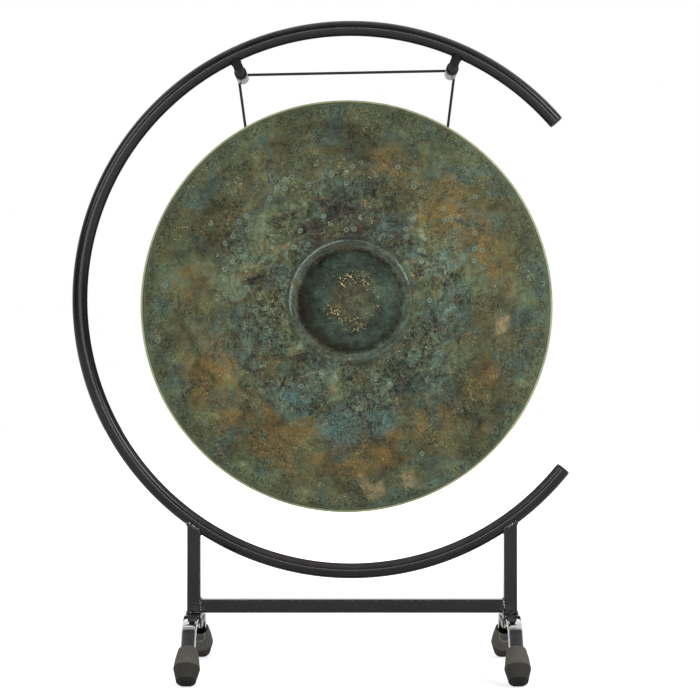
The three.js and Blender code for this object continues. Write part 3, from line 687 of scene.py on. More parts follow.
# The rest of the patina's amounts and ranges. Ranges over a distance are in metres here.
patinaSet = {
    "specular": 0.25, "drift": {"Scale": 38.0, "Detail": 5.0}, "warp": 0.034, "arcTurn": 0.06,
    "inside": (0.13, 0.22, 1.0, 0.0), "tealInside": 0.05, "tealRange": (0.48, 0.6), "teal": 0.85,
    "rustBand": 0.3, "rustSpots": 0.75, "rustArcs": (0.36, 0.58, 0.5, 1.0), "rust": 0.92,
    "redBrown": 0.82, "blueBreak": (0.5, 0.85), "disc": 0.7, "tanBreak": (0.4, 0.9), "fineTone": 2.4,
    "mottleTone": 4.2, "rimPaintedLight": 0.16, "rimPaintedLightRange": (0.26, 0.3), "outline": (0.006, 0.03, 1.0, 0.0),
    "outlineMost": 0.9, "outlineNoise": (3.0, 0.6, 2.2), "goldOnRust": (0.5, 0.02), "markScale": 88.0,
    "markHigh": (-0.01, 0.07), "markNear": 0.6, "markZone": 0.26, "markChance": (0.985, 0.99),
    "markDisc": (0.28, 0.38, 1.0, 0.0), "markLine": (0.1, 0.24), "markWeight": (0.6, 1.0),
    "markDiscTone": 0.6, "markLineTone": 0.75, "pit": (0.04, 0.18, 1.0, 0.0),
    "pitTone": (0.3, 0.7, 0.0, 0.45), "domeEnd": (0.07, 0.078, 1.0, 0.0), "lightFrom": (0.8, 0.0, 0.6),
    "domePaintedLight": (-0.05, 0.06, 0.0, 0.4), "domePaintedShade": (-0.075, -0.03, 0.7, 0.0),
    "domeTone": (0.5, 0.95), "dome": 0.95, "crownTone": (0.6, 1.0), "crown": 0.85, "crownGreen": 0.6,
    "crownRim": 0.8, "crownRimBreak": (0.42, 0.58), "bossFootShadeSide": (-0.08, 0.06, 0.85, 0.3),
    "bossFootShade": 0.75, "lineWander": 0.002, "lineDraw": 0.05, "collar": 0.5, "turnedLine": (0.75, 0.06),
    "turnedLineBreak": (0.4, 0.56), "rimDarkSpecks": (0.5, 0.58), "rimLightSpecks": (0.5, 0.42),
    "rimDark": 0.75, "rimLight": 0.5, "rimLine": 0.6, "edgeSpread": (0.38, 0.6),
    "edgeFront": (0.1205, 0.1235, 1.0, 0.0), "edgeFrom": (0.3068, 0.3084), "edgeBreak": (0.4, 0.6),
    "rough": (0.5, 0.66), "fineRough": 0.12, "metal": (0.2, 0.1), "fineHeight": 0.3,
    "mottleHeight": 0.6, "smallHeight": 0.5, "pitHeight": 0.4, "lineHeight": 0.3, "bump": (0.7, 1.1),
    "strokeDraw": (1.0, 1.0, 0.3), "strokeNoise": (3.0, 0.7, 0.8), "strokePatch": (0.3, 0.7),
}


# A soft round mask: 1 within the radius of a point, falling to 0 over the softness.
def makeSpot():
    tree, given, out = effectGroup(
        "spot",
        [("Vector", "Vector", None), ("Centre", "Vector", None), ("Radius", "Float", 0.02),
         ("Softness", "Float", 0.02)],
        [("Mask", "Float")],
    )
    away = vectors(tree, "DISTANCE", given["Vector"], given["Centre"])
    far = maths(tree, "SUBTRACT", away, given["Radius"])
    share = maths(tree, "DIVIDE", far, given["Softness"], clamp=True)
    tree.links.new(ranged(tree, share, 0.0, 1.0, 1.0, 0.0), out["Mask"])
    return tree


# Brush strokes: the plane of the gong is broken into patches, each patch is turned by its own
# random angle, and a noise drawn out along one way shows there as short strokes.
def makeStrokes():
    kit = patinaSet
    tree, given, out = effectGroup(
        "strokes",
        [("Vector", "Vector", None), ("Warped", "Vector", None), ("Shift", "Vector", None),
         ("Patch", "Float", 30.0), ("Scale", "Float", 300.0), ("Low", "Float", 0.55), ("High", "Float", 0.7)],
        [("Mask", "Float")],
    )
    moved = vectors(tree, "ADD", given["Warped"], given["Shift"])
    cells = put(tree, "ShaderNodeTexVoronoi", {"Vector": moved, "Scale": given["Patch"]})
    chance = put(tree, "ShaderNodeSeparateColor", {0: cells.outputs["Color"]}).outputs
    placed = vectors(tree, "ADD", given["Vector"], given["Shift"])
    turn = {"Vector": placed, "Angle": times(tree, chance[0], math.pi)}
    spun = put(tree, "ShaderNodeVectorRotate", turn, rotation_type="Y_AXIS").outputs[0]
    drawn = put(tree, "ShaderNodeMapping", {"Vector": spun, "Scale": kit["strokeDraw"]}).outputs[0]
    streaks = noise(tree, drawn, given["Scale"], *kit["strokeNoise"])
    ends = {"Value": streaks, "From Min": given["Low"], "From Max": given["High"]}
    mask = put(tree, "ShaderNodeMapRange", ends).outputs[0]
    tree.links.new(times(tree, mask, ranged(tree, chance[1], *kit["strokePatch"])), out["Mask"])
    return tree


# The gong's face while its colour is put together: the places that its masks read, the noises
# that several steps share, and the colour so far. Each step below lays its tones over that.
class GongFace:
    def __init__(self, tree):
        kit = patinaSet
        self.tree, self.spot, self.stroke = tree, makeSpot(), makeStrokes()
        self.place = placeOf(tree, tuple(value * metre for value in gongSet["middle"]))
        drift = put(tree, "ShaderNodeTexNoise", {"Vector": self.place, **kit["drift"]}).outputs["Color"]
        centred = vectors(tree, "SUBTRACT", drift, (0.5, 0.5, 0.5))
        warp = vectors(tree, "MULTIPLY", centred, (kit["warp"],) * 3)
        self.warped = vectors(tree, "ADD", self.place, warp)
        self.flat = vectors(tree, "MULTIPLY", self.place, (1, 0, 1))
        self.flatWarped = vectors(tree, "MULTIPLY", self.warped, (1, 0, 1))
        self.bossPlace = (gongSet["bossOffset"][0] * metre, 0, gongSet["bossOffset"][1] * metre)
        self.reach = vectors(tree, "LENGTH", self.flat)
        self.wavyReach = vectors(tree, "LENGTH", self.flatWarped)
        self.bossReach = vectors(tree, "DISTANCE", self.flat, self.bossPlace)
        self.bossWavy = vectors(tree, "DISTANCE", self.flatWarped, self.bossPlace)
        self.inside = ranged(tree, self.wavyReach, *kit["inside"])
        self.large, self.cloud, self.small, self.blotch, self.swell = (
            self.drawn(name, self.warped) for name in ("large", "cloud", "small", "blotch", "swell"))
        self.fine, self.mottle, self.broken = self.drawn("fine"), self.drawn("mottle"), self.drawn("broken")
        outward = vectors(tree, "DIVIDE", self.flat, self.reach)
        around = vectors(tree, "MULTIPLY", outward, (kit["arcTurn"],) * 3)
        byReach = put(tree, "ShaderNodeCombineXYZ", {1: self.wavyReach}).outputs[0]
        self.arcs = self.drawn("arcs", vectors(tree, "ADD", around, byReach))
        self.busy = times(tree, self.drawn("busy"), self.shareOf("busy"))
        self.goldCluster = self.drawn("goldCluster")

    # a named noise, read at the plain place or at some other points
    def drawn(self, name, points=None):
        shift, *recipe = patinaNoises[name]
        points = self.place if points is None else points
        read = vectors(self.tree, "ADD", points, (shift, shift, shift)) if shift else points
        return patches(self.tree, read, *recipe) if len(recipe) > 4 else noise(self.tree, read, *recipe)

    def spotMask(self, across, up, radius, softness):
        centre = (across * metre, 0, up * metre)
        sizes = {"radius": radius * metre, "softness": softness * metre}
        return effect(self.tree, self.spot, vector=self.flatWarped, centre=centre, **sizes)["Mask"]

    def spots(self, name):
        return most(self.tree, *[self.spotMask(*row) for row in patinaSpots[name]])

    # up at the band's start and down at its stop, over the distance that is given
    def band(self, name, away):
        start, stop, soft = patinaBands[name]
        up = ranged(self.tree, away, (start - soft) * metre, (start + soft) * metre)
        down = ranged(self.tree, away, (stop - soft) * metre, (stop + soft) * metre, 1.0, 0.0)
        return times(self.tree, up, down)

    def shareOf(self, name):
        inner, outer = patinaShares[name]
        return scaled(self.tree, self.inside, inner, outer) if inner else outer

    # a value that runs from 0 to 1, set around 0
    def aroundZero(self, value):
        return maths(self.tree, "SUBTRACT", value, 0.5)

    # a tone laid over a base where the mask is
    def laid(self, base, shade, *mask):
        shade = colour(*patinaTones[shade]) if isinstance(shade, str) else shade
        return mixed(self.tree, times(self.tree, *mask), base, shade)

    def over(self, shade, *mask):
        self.colour = self.laid(self.colour, shade, *mask)

    def blended(self, factor, first, second):
        return mixed(self.tree, factor, colour(*patinaTones[first]), colour(*patinaTones[second]))

    # a tone made lighter and darker with the face's own: the share of that and the level
    def toned(self, shade, share, level):
        return mixed(self.tree, 1.0, shade, scaled(self.tree, self.tone, share, level), "MULTIPLY")


# Soft clouds: olive and sage, teal more towards the middle, then brown, pale, umber and dark.
def addClouds(face):
    tree, kit = face.tree, patinaSet
    face.colour = face.blended(face.large, "olive", "sage")
    tealCloud = plus(tree, face.drawn("teal"), times(tree, face.inside, kit["tealInside"]))
    face.over("teal", ranged(tree, tealCloud, *kit["tealRange"]), kit["teal"])
    for name in ("brown", "pale", "umber", "deep"):
        face.over(name, face.drawn(name), face.shareOf(name))


# Rust in a broken band round the face, strong at the lower left and the upper right, and named
# places: red-brown above the boss, blue below it, smooth discs, and tan scale at the foot.
def addPlaces(face):
    tree, kit = face.tree, patinaSet
    ring = times(tree, face.band("rust", face.wavyReach), kit["rustBand"])
    ring = plus(tree, ring, times(tree, face.spots("rust"), kit["rustSpots"]))
    face.rusted = maths(tree, "MINIMUM", ring, 1.0)
    arcs = ranged(tree, face.arcs, *kit["rustArcs"])
    face.over("rust", face.drawn("rust"), arcs, face.rusted, kit["rust"])
    face.over("redBrown", face.spots("redBrown"), kit["redBrown"])
    face.over("blue", face.spots("blue"), ranged(tree, face.small, 0.0, 1.0, *kit["blueBreak"]))
    for row in patinaSpots["disc"]:
        face.over("haze", face.spotMask(*row), kit["disc"])
    face.over("tan", face.spots("tan"), ranged(tree, face.small, 0.0, 1.0, *kit["tanBreak"]))


# Tone: fine mottling, stronger in busy patches, over slow light and dark, and thin outlines.
def addTone(face):
    tree, kit = face.tree, patinaSet
    mottling = times(tree, face.aroundZero(face.mottle), kit["mottleTone"])
    tone = times(tree, face.aroundZero(face.fine), kit["fineTone"])
    tone = times(tree, plus(tree, tone, mottling), face.busy)
    # painted light: the face made lighter towards the rim, against the shading of the shoulder
    tone = plus(tree, tone, times(tree, ranged(tree, face.reach, *kit["rimPaintedLightRange"]), kit["rimPaintedLight"]))
    for name in ("small", "blotch", "swell", "cloud", "arcs"):
        tone = plus(tree, tone, times(tree, face.aroundZero(getattr(face, name)), face.shareOf(name)))
    for *region, level in patinaRegions:
        tone = plus(tree, tone, times(tree, face.spotMask(*region), level))
    face.tone = tone
    face.colour = face.toned(face.colour, 1.0, 1.0)
    for scale, shift, shade, level in patinaOutlines:
        read = vectors(tree, "ADD", face.place, (shift, shift, shift))
        slow = maths(tree, "ABSOLUTE", face.aroundZero(noise(tree, read, scale, *kit["outlineNoise"])))
        line = times(tree, ranged(tree, slow, *kit["outline"]), face.busy, level)
        face.over(shade, maths(tree, "MINIMUM", line, kit["outlineMost"]))


# Strokes, dark and light, most in the busy patches, and specks of gold on the rust.
def addStrokes(face):
    tree = face.tree
    for patch, scale, low, high, shift, shade, level in patinaStrokes:
        sizes = {"shift": (shift, 0.0, shift), "patch": patch, "scale": scale, "low": low, "high": high}
        mask = effect(tree, face.stroke, vector=face.place, warped=face.warped, **sizes)["Mask"]
        mask = times(tree, mask, face.busy, face.shareOf("strokes"), level)
        face.over(shade, maths(tree, "MINIMUM", mask, 1.0))
    onRust = scaled(tree, face.rusted, *patinaSet["goldOnRust"])
    face.over("gold", face.drawn("goldSpeck"), face.goldCluster, onRust)


# Ringed hammer marks, mostly in the upper half of the ring round the boss: a few cells of the
# plane are chosen by chance, and each has a disc, a line round it and a pit. Then cream flecks,
# in clusters and near the edge.
def addMarks(face):
    tree, kit = face.tree, patinaSet
    across, up = split(tree, face.flat)["X"], split(tree, face.flat)["Z"]
    plane = put(tree, "ShaderNodeCombineXYZ", {0: across, 1: up}).outputs[0]
    cellInputs = {"Vector": plane, "Scale": kit["markScale"]}
    cells = put(tree, "ShaderNodeTexVoronoi", cellInputs, voronoi_dimensions="2D").outputs
    chance = put(tree, "ShaderNodeSeparateColor", {0: cells["Color"]}).outputs
    near = times(tree, face.band("marksNear", face.bossWavy), kit["markNear"])
    zone = most(tree, face.band("marksFar", face.bossWavy), near)
    likely = times(tree, zone, ranged(tree, up, *kit["markHigh"]), kit["markZone"])
    chosen = ranged(tree, plus(tree, chance[0], likely), *kit["markChance"])
    disc = times(tree, ranged(tree, cells["Distance"], *kit["markDisc"]), chosen)
    face.markLine = times(tree, ranged(tree, cells["Distance"], *kit["markLine"]), disc)
    face.pit = times(tree, ranged(tree, cells["Distance"], *kit["pit"]), chosen)
    weight = ranged(tree, chance[1], 0.0, 1.0, *kit["markWeight"])
    face.over("haze", disc, weight, kit["markDiscTone"])
    face.over("hammered", face.markLine, weight, kit["markLineTone"])
    face.over("deep", face.pit, ranged(tree, chance[2], *kit["pitTone"]))
    nearEdge = times(tree, face.band("creamEdge", face.wavyReach), face.goldCluster)
    face.over("cream", face.drawn("creamFleck"), most(tree, face.drawn("creamCluster"), nearEdge))


# Boss: a dark teal dome, with painted light at the upper right and painted shade at the left and round its
# foot, and a worn brown top in a ring of flecks.
def addBoss(face):
    tree, kit = face.tree, patinaSet
    fromBoss = vectors(tree, "SUBTRACT", face.flat, face.bossPlace)
    side = vectors(tree, "DOT_PRODUCT", fromBoss, kit["lightFrom"])
    dome = face.blended(face.cloud, "dome", "domeLight")
    # painted light on the dome's upper right and painted shade on its left, by the side towards lightFrom
    dome = face.laid(dome, "domePaintedLight", ranged(tree, side, *kit["domePaintedLight"]))
    dome = face.laid(dome, "domePaintedShade", ranged(tree, side, *kit["domePaintedShade"]))
    onDome = ranged(tree, face.bossReach, *kit["domeEnd"])
    face.over(face.toned(dome, *kit["domeTone"]), onDome, kit["dome"])
    crown = face.toned(face.blended(face.small, "crown", "crownLight"), *kit["crownTone"])
    face.over(crown, face.spots("crown"), kit["crown"])
    face.over("crownGreen", face.spots("crownGreen"), kit["crownGreen"])
    across, up = patinaSpots["crown"][0][:2]
    crownReach = vectors(tree, "DISTANCE", face.flatWarped, (across * metre, 0, up * metre))
    crownRim, gaps = face.band("crownRim", crownReach), face.drawn("crownGap")
    face.over("crownRim", crownRim, ranged(tree, face.mottle, *kit["crownRimBreak"]), gaps, kit["crownRim"])
    face.over("cream", crownRim, face.drawn("crownFleck"), gaps)
    # painted shade round the dome's foot, strongest on the side away from the light
    awayFromLight = ranged(tree, side, *kit["bossFootShadeSide"])
    face.over("bossFootShade", face.band("bossFootShade", face.bossWavy), awayFromLight, kit["bossFootShade"])


# The collar round the boss and its broken turned lines.
def addCollar(face):
    tree, kit, axes = face.tree, patinaSet, split(face.tree, face.flat)
    turnedPlace = put(tree, "ShaderNodeCombineXYZ", {
        0: plus(tree, face.bossReach, times(tree, face.aroundZero(face.cloud), kit["lineWander"])),
        1: times(tree, axes["X"], kit["lineDraw"]), 2: times(tree, axes["Z"], kit["lineDraw"]),
    }).outputs[0]
    collar = face.blended(face.drawn("turnedLine", turnedPlace), "collar", "collarLight")
    face.over(collar, face.band("collar", face.bossReach), kit["collar"])
    bright = scaled(tree, face.spots("turnedLine"), *kit["turnedLine"])
    lineBreak = ranged(tree, face.fine, *kit["turnedLineBreak"])
    face.over("turnedLine", face.band("turnedLine", face.bossReach), lineBreak, bright)


# Edge: dark and light specks, a broken pale line that is a painted highlight beside a thin dark one, and worn
# bronze round the corner that also serves as its painted highlight, as far back as the shoulder starts.
def addEdge(face):
    tree, kit = face.tree, patinaSet
    rim = face.band("rim", face.reach)
    face.over("deep", rim, ranged(tree, face.mottle, *kit["rimDarkSpecks"]), kit["rimDark"])
    face.over("haze", rim, ranged(tree, face.mottle, *kit["rimLightSpecks"]), kit["rimLight"])
    # a broken pale line, a painted highlight along the rim's corner, beside a thin dark one
    face.over("haze", face.band("rimLight", face.reach), face.broken, kit["rimLine"])
    face.over("deep", face.band("rimDark", face.reach), face.broken, kit["rimLine"])
    # worn bronze on the front of the corner, also serving as its painted highlight
    front = ranged(tree, split(tree, placeOf(tree))["Y"], *kit["edgeFront"])
    worn = scaled(tree, face.broken, *kit["edgeBreak"])
    edgeTone = face.blended(ranged(tree, face.fine, *kit["edgeSpread"]), "edgeDull", "edge")
    face.over(edgeTone, ranged(tree, face.reach, *kit["edgeFrom"]), front, worn)


# Aged bronze: soft clouds of olive, sage and teal, rust in a broken band, short strokes and
# specks in busy patches, ringed hammer marks, a worn boss, and painted light and shade on the boss and near
# the rim, all on the gong's own face.
def makePatina():
    kit = patinaSet
    material, tree, shader = newFinish("gongPatina", Specular_IOR_Level=kit["specular"])
    face = GongFace(tree)
    for step in (addClouds, addPlaces, addTone, addStrokes, addMarks, addBoss, addCollar, addEdge):
        step(face)
    fineRough = times(tree, face.fine, kit["fineRough"])
    rough = plus(tree, ranged(tree, face.small, 0.0, 1.0, *kit["rough"]), fineRough)
    tree.links.new(ranged(tree, face.large, 0.0, 1.0, *kit["metal"]), shader.inputs["Metallic"])
    height = plus(
        tree, times(tree, face.fine, kit["fineHeight"], face.busy),
        times(tree, face.mottle, kit["mottleHeight"], face.busy), times(tree, face.small, kit["smallHeight"]),
    )
    height = maths(tree, "SUBTRACT", height, times(tree, face.pit, kit["pitHeight"]))
    height = plus(tree, height, times(tree, face.markLine, kit["lineHeight"]))
    surfaced(tree, shader, face.colour, rough, height, *kit["bump"])
    return material


blackPaint, capPlastic, legChrome = makePaint(), makeCapPlastic(), makeChrome()
rivetZinc, footRubber, sleeveVinyl = makeZinc(), makeRubber(), makeVinyl()
cordYarn, gongPatina = makeCordYarn(), makePatina()
print("materials made")


ringSet = {
    "centre": (43.984, -16.196, 536.75), "radius": 392.1, "tube": 11.0, "wall": 1.4,
    "mouthHalfAngle": 39.45, "turn": 1.15, "rows": 420, "columns": 64, "endRounding": 0.35,
    "endWear": 0.35, "dustAndLightTop": (0.25, 0.6),
}
capShape = {
    "spigot": 8.35, "depth": 9.0, "lead": 1.1, "gap": 0.3, "head": 3.0, "dome": 0.8, "edge": 1.1,
    "rounding": 0.5, "middleDrop": 0.02, "sides": 48, "wornHeight": (1.2, 2.4), "wornRim": (3.0, 0.6),
}
ringCentre = np.array(ringSet["centre"])
ringEnd = ringSet["mouthHalfAngle"] + math.degrees((capShape["gap"] + capShape["head"]) / ringSet["radius"])


# Points given in the ring's own frame, turned with the ring and set at its middle.
def inRing(points, extraTurn=0.0):
    return turned(points, 1, extraTurn - ringSet["turn"]) + ringCentre


# The bent tube: a circle of the skin's radius carried round the ring, out along the outer
# skin and back along the bore, so that both ends close between the two.
def makeRing():
    size = ringSet
    step = math.degrees(size["endRounding"] / size["radius"])
    run = np.linspace(ringEnd + step, 360 - ringEnd - step, size["rows"])
    run = np.concatenate([[ringEnd], run, [360 - ringEnd]])
    out = np.full(len(run), size["tube"])
    out[[0, -1]] -= size["endRounding"]
    bore = np.full(len(run), size["tube"] - size["wall"])
    near = np.concatenate([run, run[::-1]])[:, None]
    angle = np.radians(near)
    skin = np.concatenate([out, bore])[:, None]
    turn = np.linspace(0, 2 * np.pi, size["columns"], endpoint=False)[None, :]
    reach = size["radius"] + skin * np.cos(turn)
    points = np.stack([reach * np.cos(angle), skin * np.sin(turn), reach * np.sin(angle)], -1)
    fromEnd = np.minimum(near, 360 - near) - ringEnd
    edge = smooth(fromEnd, size["endWear"], 0)
    # the upper outer side of the ring, marked for dust that is also painted light
    dustAndLightTop = smooth(np.cos(turn) * np.sin(angle), *size["dustAndLightTop"]) * (skin > bore[0])
    shape = gridShape(inRing(points), closeRows=True, marks={"edge": edge, "dustAndLightTop": dustAndLightTop})
    finished(meshObject("ring_shell", [shape]), blackPaint, "black_paint", "frame", "ring_tube")


# A cap: its profile turned about the tube's own direction at the ring's end. Heights in the
# profile are measured from the tube's end face, out of the tube.
def makeCap(name, side):
    size, tube = capShape, ringSet["tube"]
    top = size["gap"] + size["head"]
    shoulder = top - size["dome"]
    profile = softened([
        (0, -size["depth"]), (size["spigot"] - size["lead"], -size["depth"]),
        (size["spigot"], size["lead"] - size["depth"]), (size["spigot"], size["gap"]), (tube, size["gap"]),
        (tube, shoulder - size["edge"]), (tube - size["edge"], shoulder), (tube / 2, top - size["dome"] / 4),
        (0, top - size["middleDrop"]),
    ], size["rounding"])[1:-1]
    points = lathe(profile, size["sides"])
    angle = math.radians(side * ringEnd)
    outward = np.array([math.cos(angle), 0, math.sin(angle)])
    ahead = side * np.array([math.sin(angle), 0, -math.cos(angle)])
    placed = outward * (ringSet["radius"] + points[..., :1]) + ahead * points[..., 2:]
    placed = placed + np.array([0, 1.0, 0]) * points[..., 1:2]
    inner, outer = size["wornRim"]
    edge = smooth(profile[:, 1], *size["wornHeight"]) * smooth(profile[:, 0], tube - inner, tube - outer)
    shape = gridShape(inRing(placed), marks={"edge": edge[:, None]})
    finished(meshObject(name + "_end_plug", [shape]), capPlastic, "cap_plastic", "frame", name + "_end_cap")


makeRing()
makeCap("upper", 1)
makeCap("lower", -1)
print("ring made")


tubeSet = {
    "half": 9.5, "corner": 2.0, "innerCorner": 0.7, "wall": 1.5, "foot": 84.3, "spacing": 457.2,
    "cope": 11.4, "barHeight": 94.325, "barGap": 0.325, "endInset": 0.25, "worn": (1.0, 0.6),
    "uprightShares": (0, 0.004, 0.03, 0.1, 0.25, 0.5, 0.75, 0.9, 0.97, 0.996, 1.0),
    "barShares": (-1, -0.998, -0.99, -0.9, -0.5, 0, 0.5, 0.9, 0.99, 0.998, 1),
}


# The height of the ring's underside over a point of the base: the ring's height less the root
# of reach squared less X squared, where reach is the ring's radius plus the root of the cope's
# radius squared less Y squared.
def copeHeight(x, y):
    reach = ringSet["radius"] + np.sqrt(tubeSet["cope"] ** 2 - y**2)
    return ringCentre[2] - np.sqrt(reach**2 - (x + standMiddle[0] - ringCentre[0]) ** 2)


# A square tube: an outer and an inner skin, each given by a function of half its width, its
# corner and the inset of its ends, joined at both ends, with its corners marked for wear.
def makeSquareTube(name, node, skinOf):
    size = tubeSet
    outer = skinOf(size["half"], size["corner"], size["endInset"])
    inner = skinOf(size["half"] - size["wall"], size["innerCorner"], 0.0)
    points = np.concatenate([outer, inner[::-1]]) + standMiddle
    section = roundedSquare(size["half"], size["corner"])
    flat = size["half"] - size["corner"] - size["worn"][0]
    edge = smooth(np.abs(section).min(-1), flat, size["half"] - size["worn"][1])
    shape = gridShape(points, closeRows=True, marks={"edge": edge[None, :]})
    finished(meshObject(name, [shape]), blackPaint, "black_paint", "frame", node)


# An upright: the rounded square carried up from the plate to the ring's underside.
def makeUpright(name, side):
    spread, foot = side * tubeSet["spacing"] / 2, tubeSet["foot"]
    shares = np.array(tubeSet["uprightShares"])[:, None]

    def skinOf(half, corner, inset):
        x, y = roundedSquare(half, corner).T
        z = foot + shares * (copeHeight(spread + x, y) - foot)
        shrink = 1 - inset / half * np.isin(shares, (0, 1))
        return np.stack([spread + x * shrink, y * shrink, z], -1)

    makeSquareTube(name + "_post", name + "_upright", skinOf)


# The crossbar: the rounded square carried along X between the uprights.
def makeCrossbar():
    halfLength = tubeSet["spacing"] / 2 - tubeSet["half"] - tubeSet["barGap"]
    along = np.array(tubeSet["barShares"])[:, None] * halfLength

    def skinOf(half, corner, inset):
        y, z = roundedSquare(half, corner).T
        return np.stack(np.broadcast_arrays(along, y, z + tubeSet["barHeight"]), -1)

    makeSquareTube("crossbar_tube", "crossbar", skinOf)


weldSet = {
    "ripple": 0.28, "pitch": 2.6, "step": 0.45, "sides": 14, "swell": (0.85, 1.15), "swellStep": 4,
    "swellPast": 8, "taper": 1.6, "least": 0.02, "wear": 0.55, "cope": 1.35, "foot": 1.3, "bar": 1.45,
    "sharp": 60, "off": 0.2, "copeRise": 0.2, "footRise": 0.9, "seamOff": 0.3, "seamIn": 0.4,
    "seamCorner": 1.0, "seamStart": 1.5,
}
randomWeld = np.random.default_rng(11)


# A weld bead: a circle carried along the seam, its radius rippling with the run as each
# drop of metal set, with slow random swelling, and tapering at the ends of an open seam.
def weldBead(path, radius, up, closed=False):
    size = weldSet
    path = evenly(path, size["step"])
    run = np.arange(len(path)) * size["step"]
    waves = 1 + size["ripple"] * np.abs(np.sin(np.pi * run / size["pitch"])) - size["ripple"] / 2
    stations = np.arange(0, run[-1] + size["swellPast"], size["swellStep"])
    swell = np.interp(run, stations, randomWeld.uniform(*size["swell"], len(stations)))
    reach = radius * waves * swell
    if not closed:
        reach = reach * np.sqrt(np.clip(np.minimum(run, run[-1] - run) / size["taper"], size["least"], 1))
    angle = np.linspace(0, 2 * np.pi, size["sides"], endpoint=False)
    section = reach[:, None, None] * np.stack([np.cos(angle), np.sin(angle)], -1)[None]
    points = sweep(path, section, np.asarray(up, float))
    marks = {"edge": size["wear"], "bead": 1.0}
    return gridShape(points[:-1] if closed else points, closeRows=closed, marks=marks)


# Beads at one upright: round the cope, round its foot on the plate, and on the crossbar.
def makeWelds(name, side):
    size, half = weldSet, tubeSet["half"]
    section = roundedSquare(half + size["off"], tubeSet["corner"], perSide=9)
    x, y = np.vstack([section, section[:1]]).T
    x = x + side * tubeSet["spacing"] / 2
    cope = np.stack([x, y, copeHeight(x, y) + size["copeRise"]], -1)
    foot = np.stack([x, y, np.full(len(x), tubeSet["foot"] + size["footRise"])], -1)
    inner = side * (tubeSet["spacing"] / 2 - half - size["seamOff"])
    high = tubeSet["barHeight"] + half
    start, stop = high - 2 * half + size["seamStart"], high - size["seamCorner"]
    wide = half - size["seamIn"]
    narrow = wide - size["seamCorner"]
    seam = [(inner, -wide, start), (inner, -wide, stop), (inner, -narrow, high),
            (inner, narrow, high), (inner, wide, stop), (inner, wide, start)]
    beads = [
        weldBead(cope + standMiddle, size["cope"], (0, 0, 1), closed=True),
        weldBead(foot + standMiddle, size["foot"], (0, 0, 1), closed=True),
        weldBead(np.array(seam) + standMiddle, size["bar"], (1, 0, 0)),
    ]
    thing = meshObject(name + "_post_welds", beads, sharp=size["sharp"])
    finished(thing, blackPaint, "black_paint", "frame")


# How many points cross a folded sheet: on each side, round each bend and over half of a web,
# and which of them is the middle of the bend.
sheetGrid = {"side": 9, "bend": 8, "web": 8, "bendMiddle": 12}


# A sheet's two skins joined side by side, and how far each column is from its skin's edge.
def joined(outer, inner):
    count = outer.shape[1]
    across = np.minimum(np.arange(count), count - 1 - np.arange(count))
    return np.concatenate([outer, inner[:, ::-1]], 1), across


bracketSet = {
    "width": 24.2, "sheet": 1.5, "top": 84.0, "half": 35.0, "earHalf": 18.5, "earDepth": 20.0,
    "lip": 5.0, "corner": 2.6, "edge": 0.35, "firstStep": 0.6, "steps": 67, "blend": 9,
    "noseLength": 1.5, "noseRise": 1.2, "wornWidth": 5, "wornEdge": 0.8, "wornInside": 0.3,
}


# A folded bracket: an upside-down U of sheet, its outer and inner skins side by side, carried
# from front to rear. Its sides reach down from the lip at each end to the full ear between.
def makeBracket(name, side):
    size = bracketSet
    half, near = size["half"], size["half"] - size["firstStep"]
    along = np.concatenate([[-half], np.linspace(-near, near, size["steps"]), [half]])
    away = np.abs(along)
    depth = np.interp(away, [size["earHalf"], half], [size["earDepth"], size["lip"]])
    kernel = np.hanning(size["blend"]) / np.hanning(size["blend"]).sum()
    depth = np.convolve(np.pad(depth, size["blend"] // 2, mode="edge"), kernel, mode="valid")
    nose = np.maximum(away - half + size["noseLength"], 0)
    depth = (depth - size["noseRise"] * nose / size["noseLength"])[:, None]

    def skinOf(inset):
        wide, corner = size["width"] / 2 - inset, size["corner"] - inset
        bendTop = size["top"] - inset - corner
        bottom = size["top"] - depth
        sideZ = bottom + (bendTop - bottom) * np.linspace(0, 1, sheetGrid["side"])[None, :]
        bend = np.radians(np.linspace(180, 90, sheetGrid["bend"]))[None, 1:]
        bendX = -wide + corner + corner * np.cos(bend)
        leftX = np.concatenate([np.full((1, sheetGrid["side"]), -wide), bendX], 1)
        bendZ = np.broadcast_to(bendTop + corner * np.sin(bend), (len(along), bend.shape[1]))
        leftZ = np.concatenate([sideZ, bendZ], 1)
        x = np.concatenate([leftX, -leftX[:, ::-1]], 1)
        z = np.concatenate([leftZ, leftZ[:, ::-1]], 1)
        return np.stack(np.broadcast_arrays(x, along[:, None], z), -1)

    points, across = joined(skinOf(0.0), skinOf(size["sheet"]))
    points = points + standMiddle + [side * tubeSet["spacing"] / 2, 0, 0]
    mark = smooth(-np.abs(across - sheetGrid["bendMiddle"]), -size["wornWidth"], 0)
    mark = np.maximum(mark, (across < 1) * size["wornEdge"])
    mark = np.concatenate([mark, mark * size["wornInside"]])
    shape = gridShape(points, ends="strip", marks={"edge": mark[None, :]})
    thing = meshObject(name + "_bracket_sheet", [shape])
    bevelled(thing, size["edge"])
    finished(thing, blackPaint, "black_paint", "frame", name + "_leg_bracket")


makeCrossbar()
for sideName, side in (("left", -1), ("right", 1)):
    makeUpright(sideName, side)
    makeWelds(sideName, side)
    makeBracket(sideName, side)
print("base made")


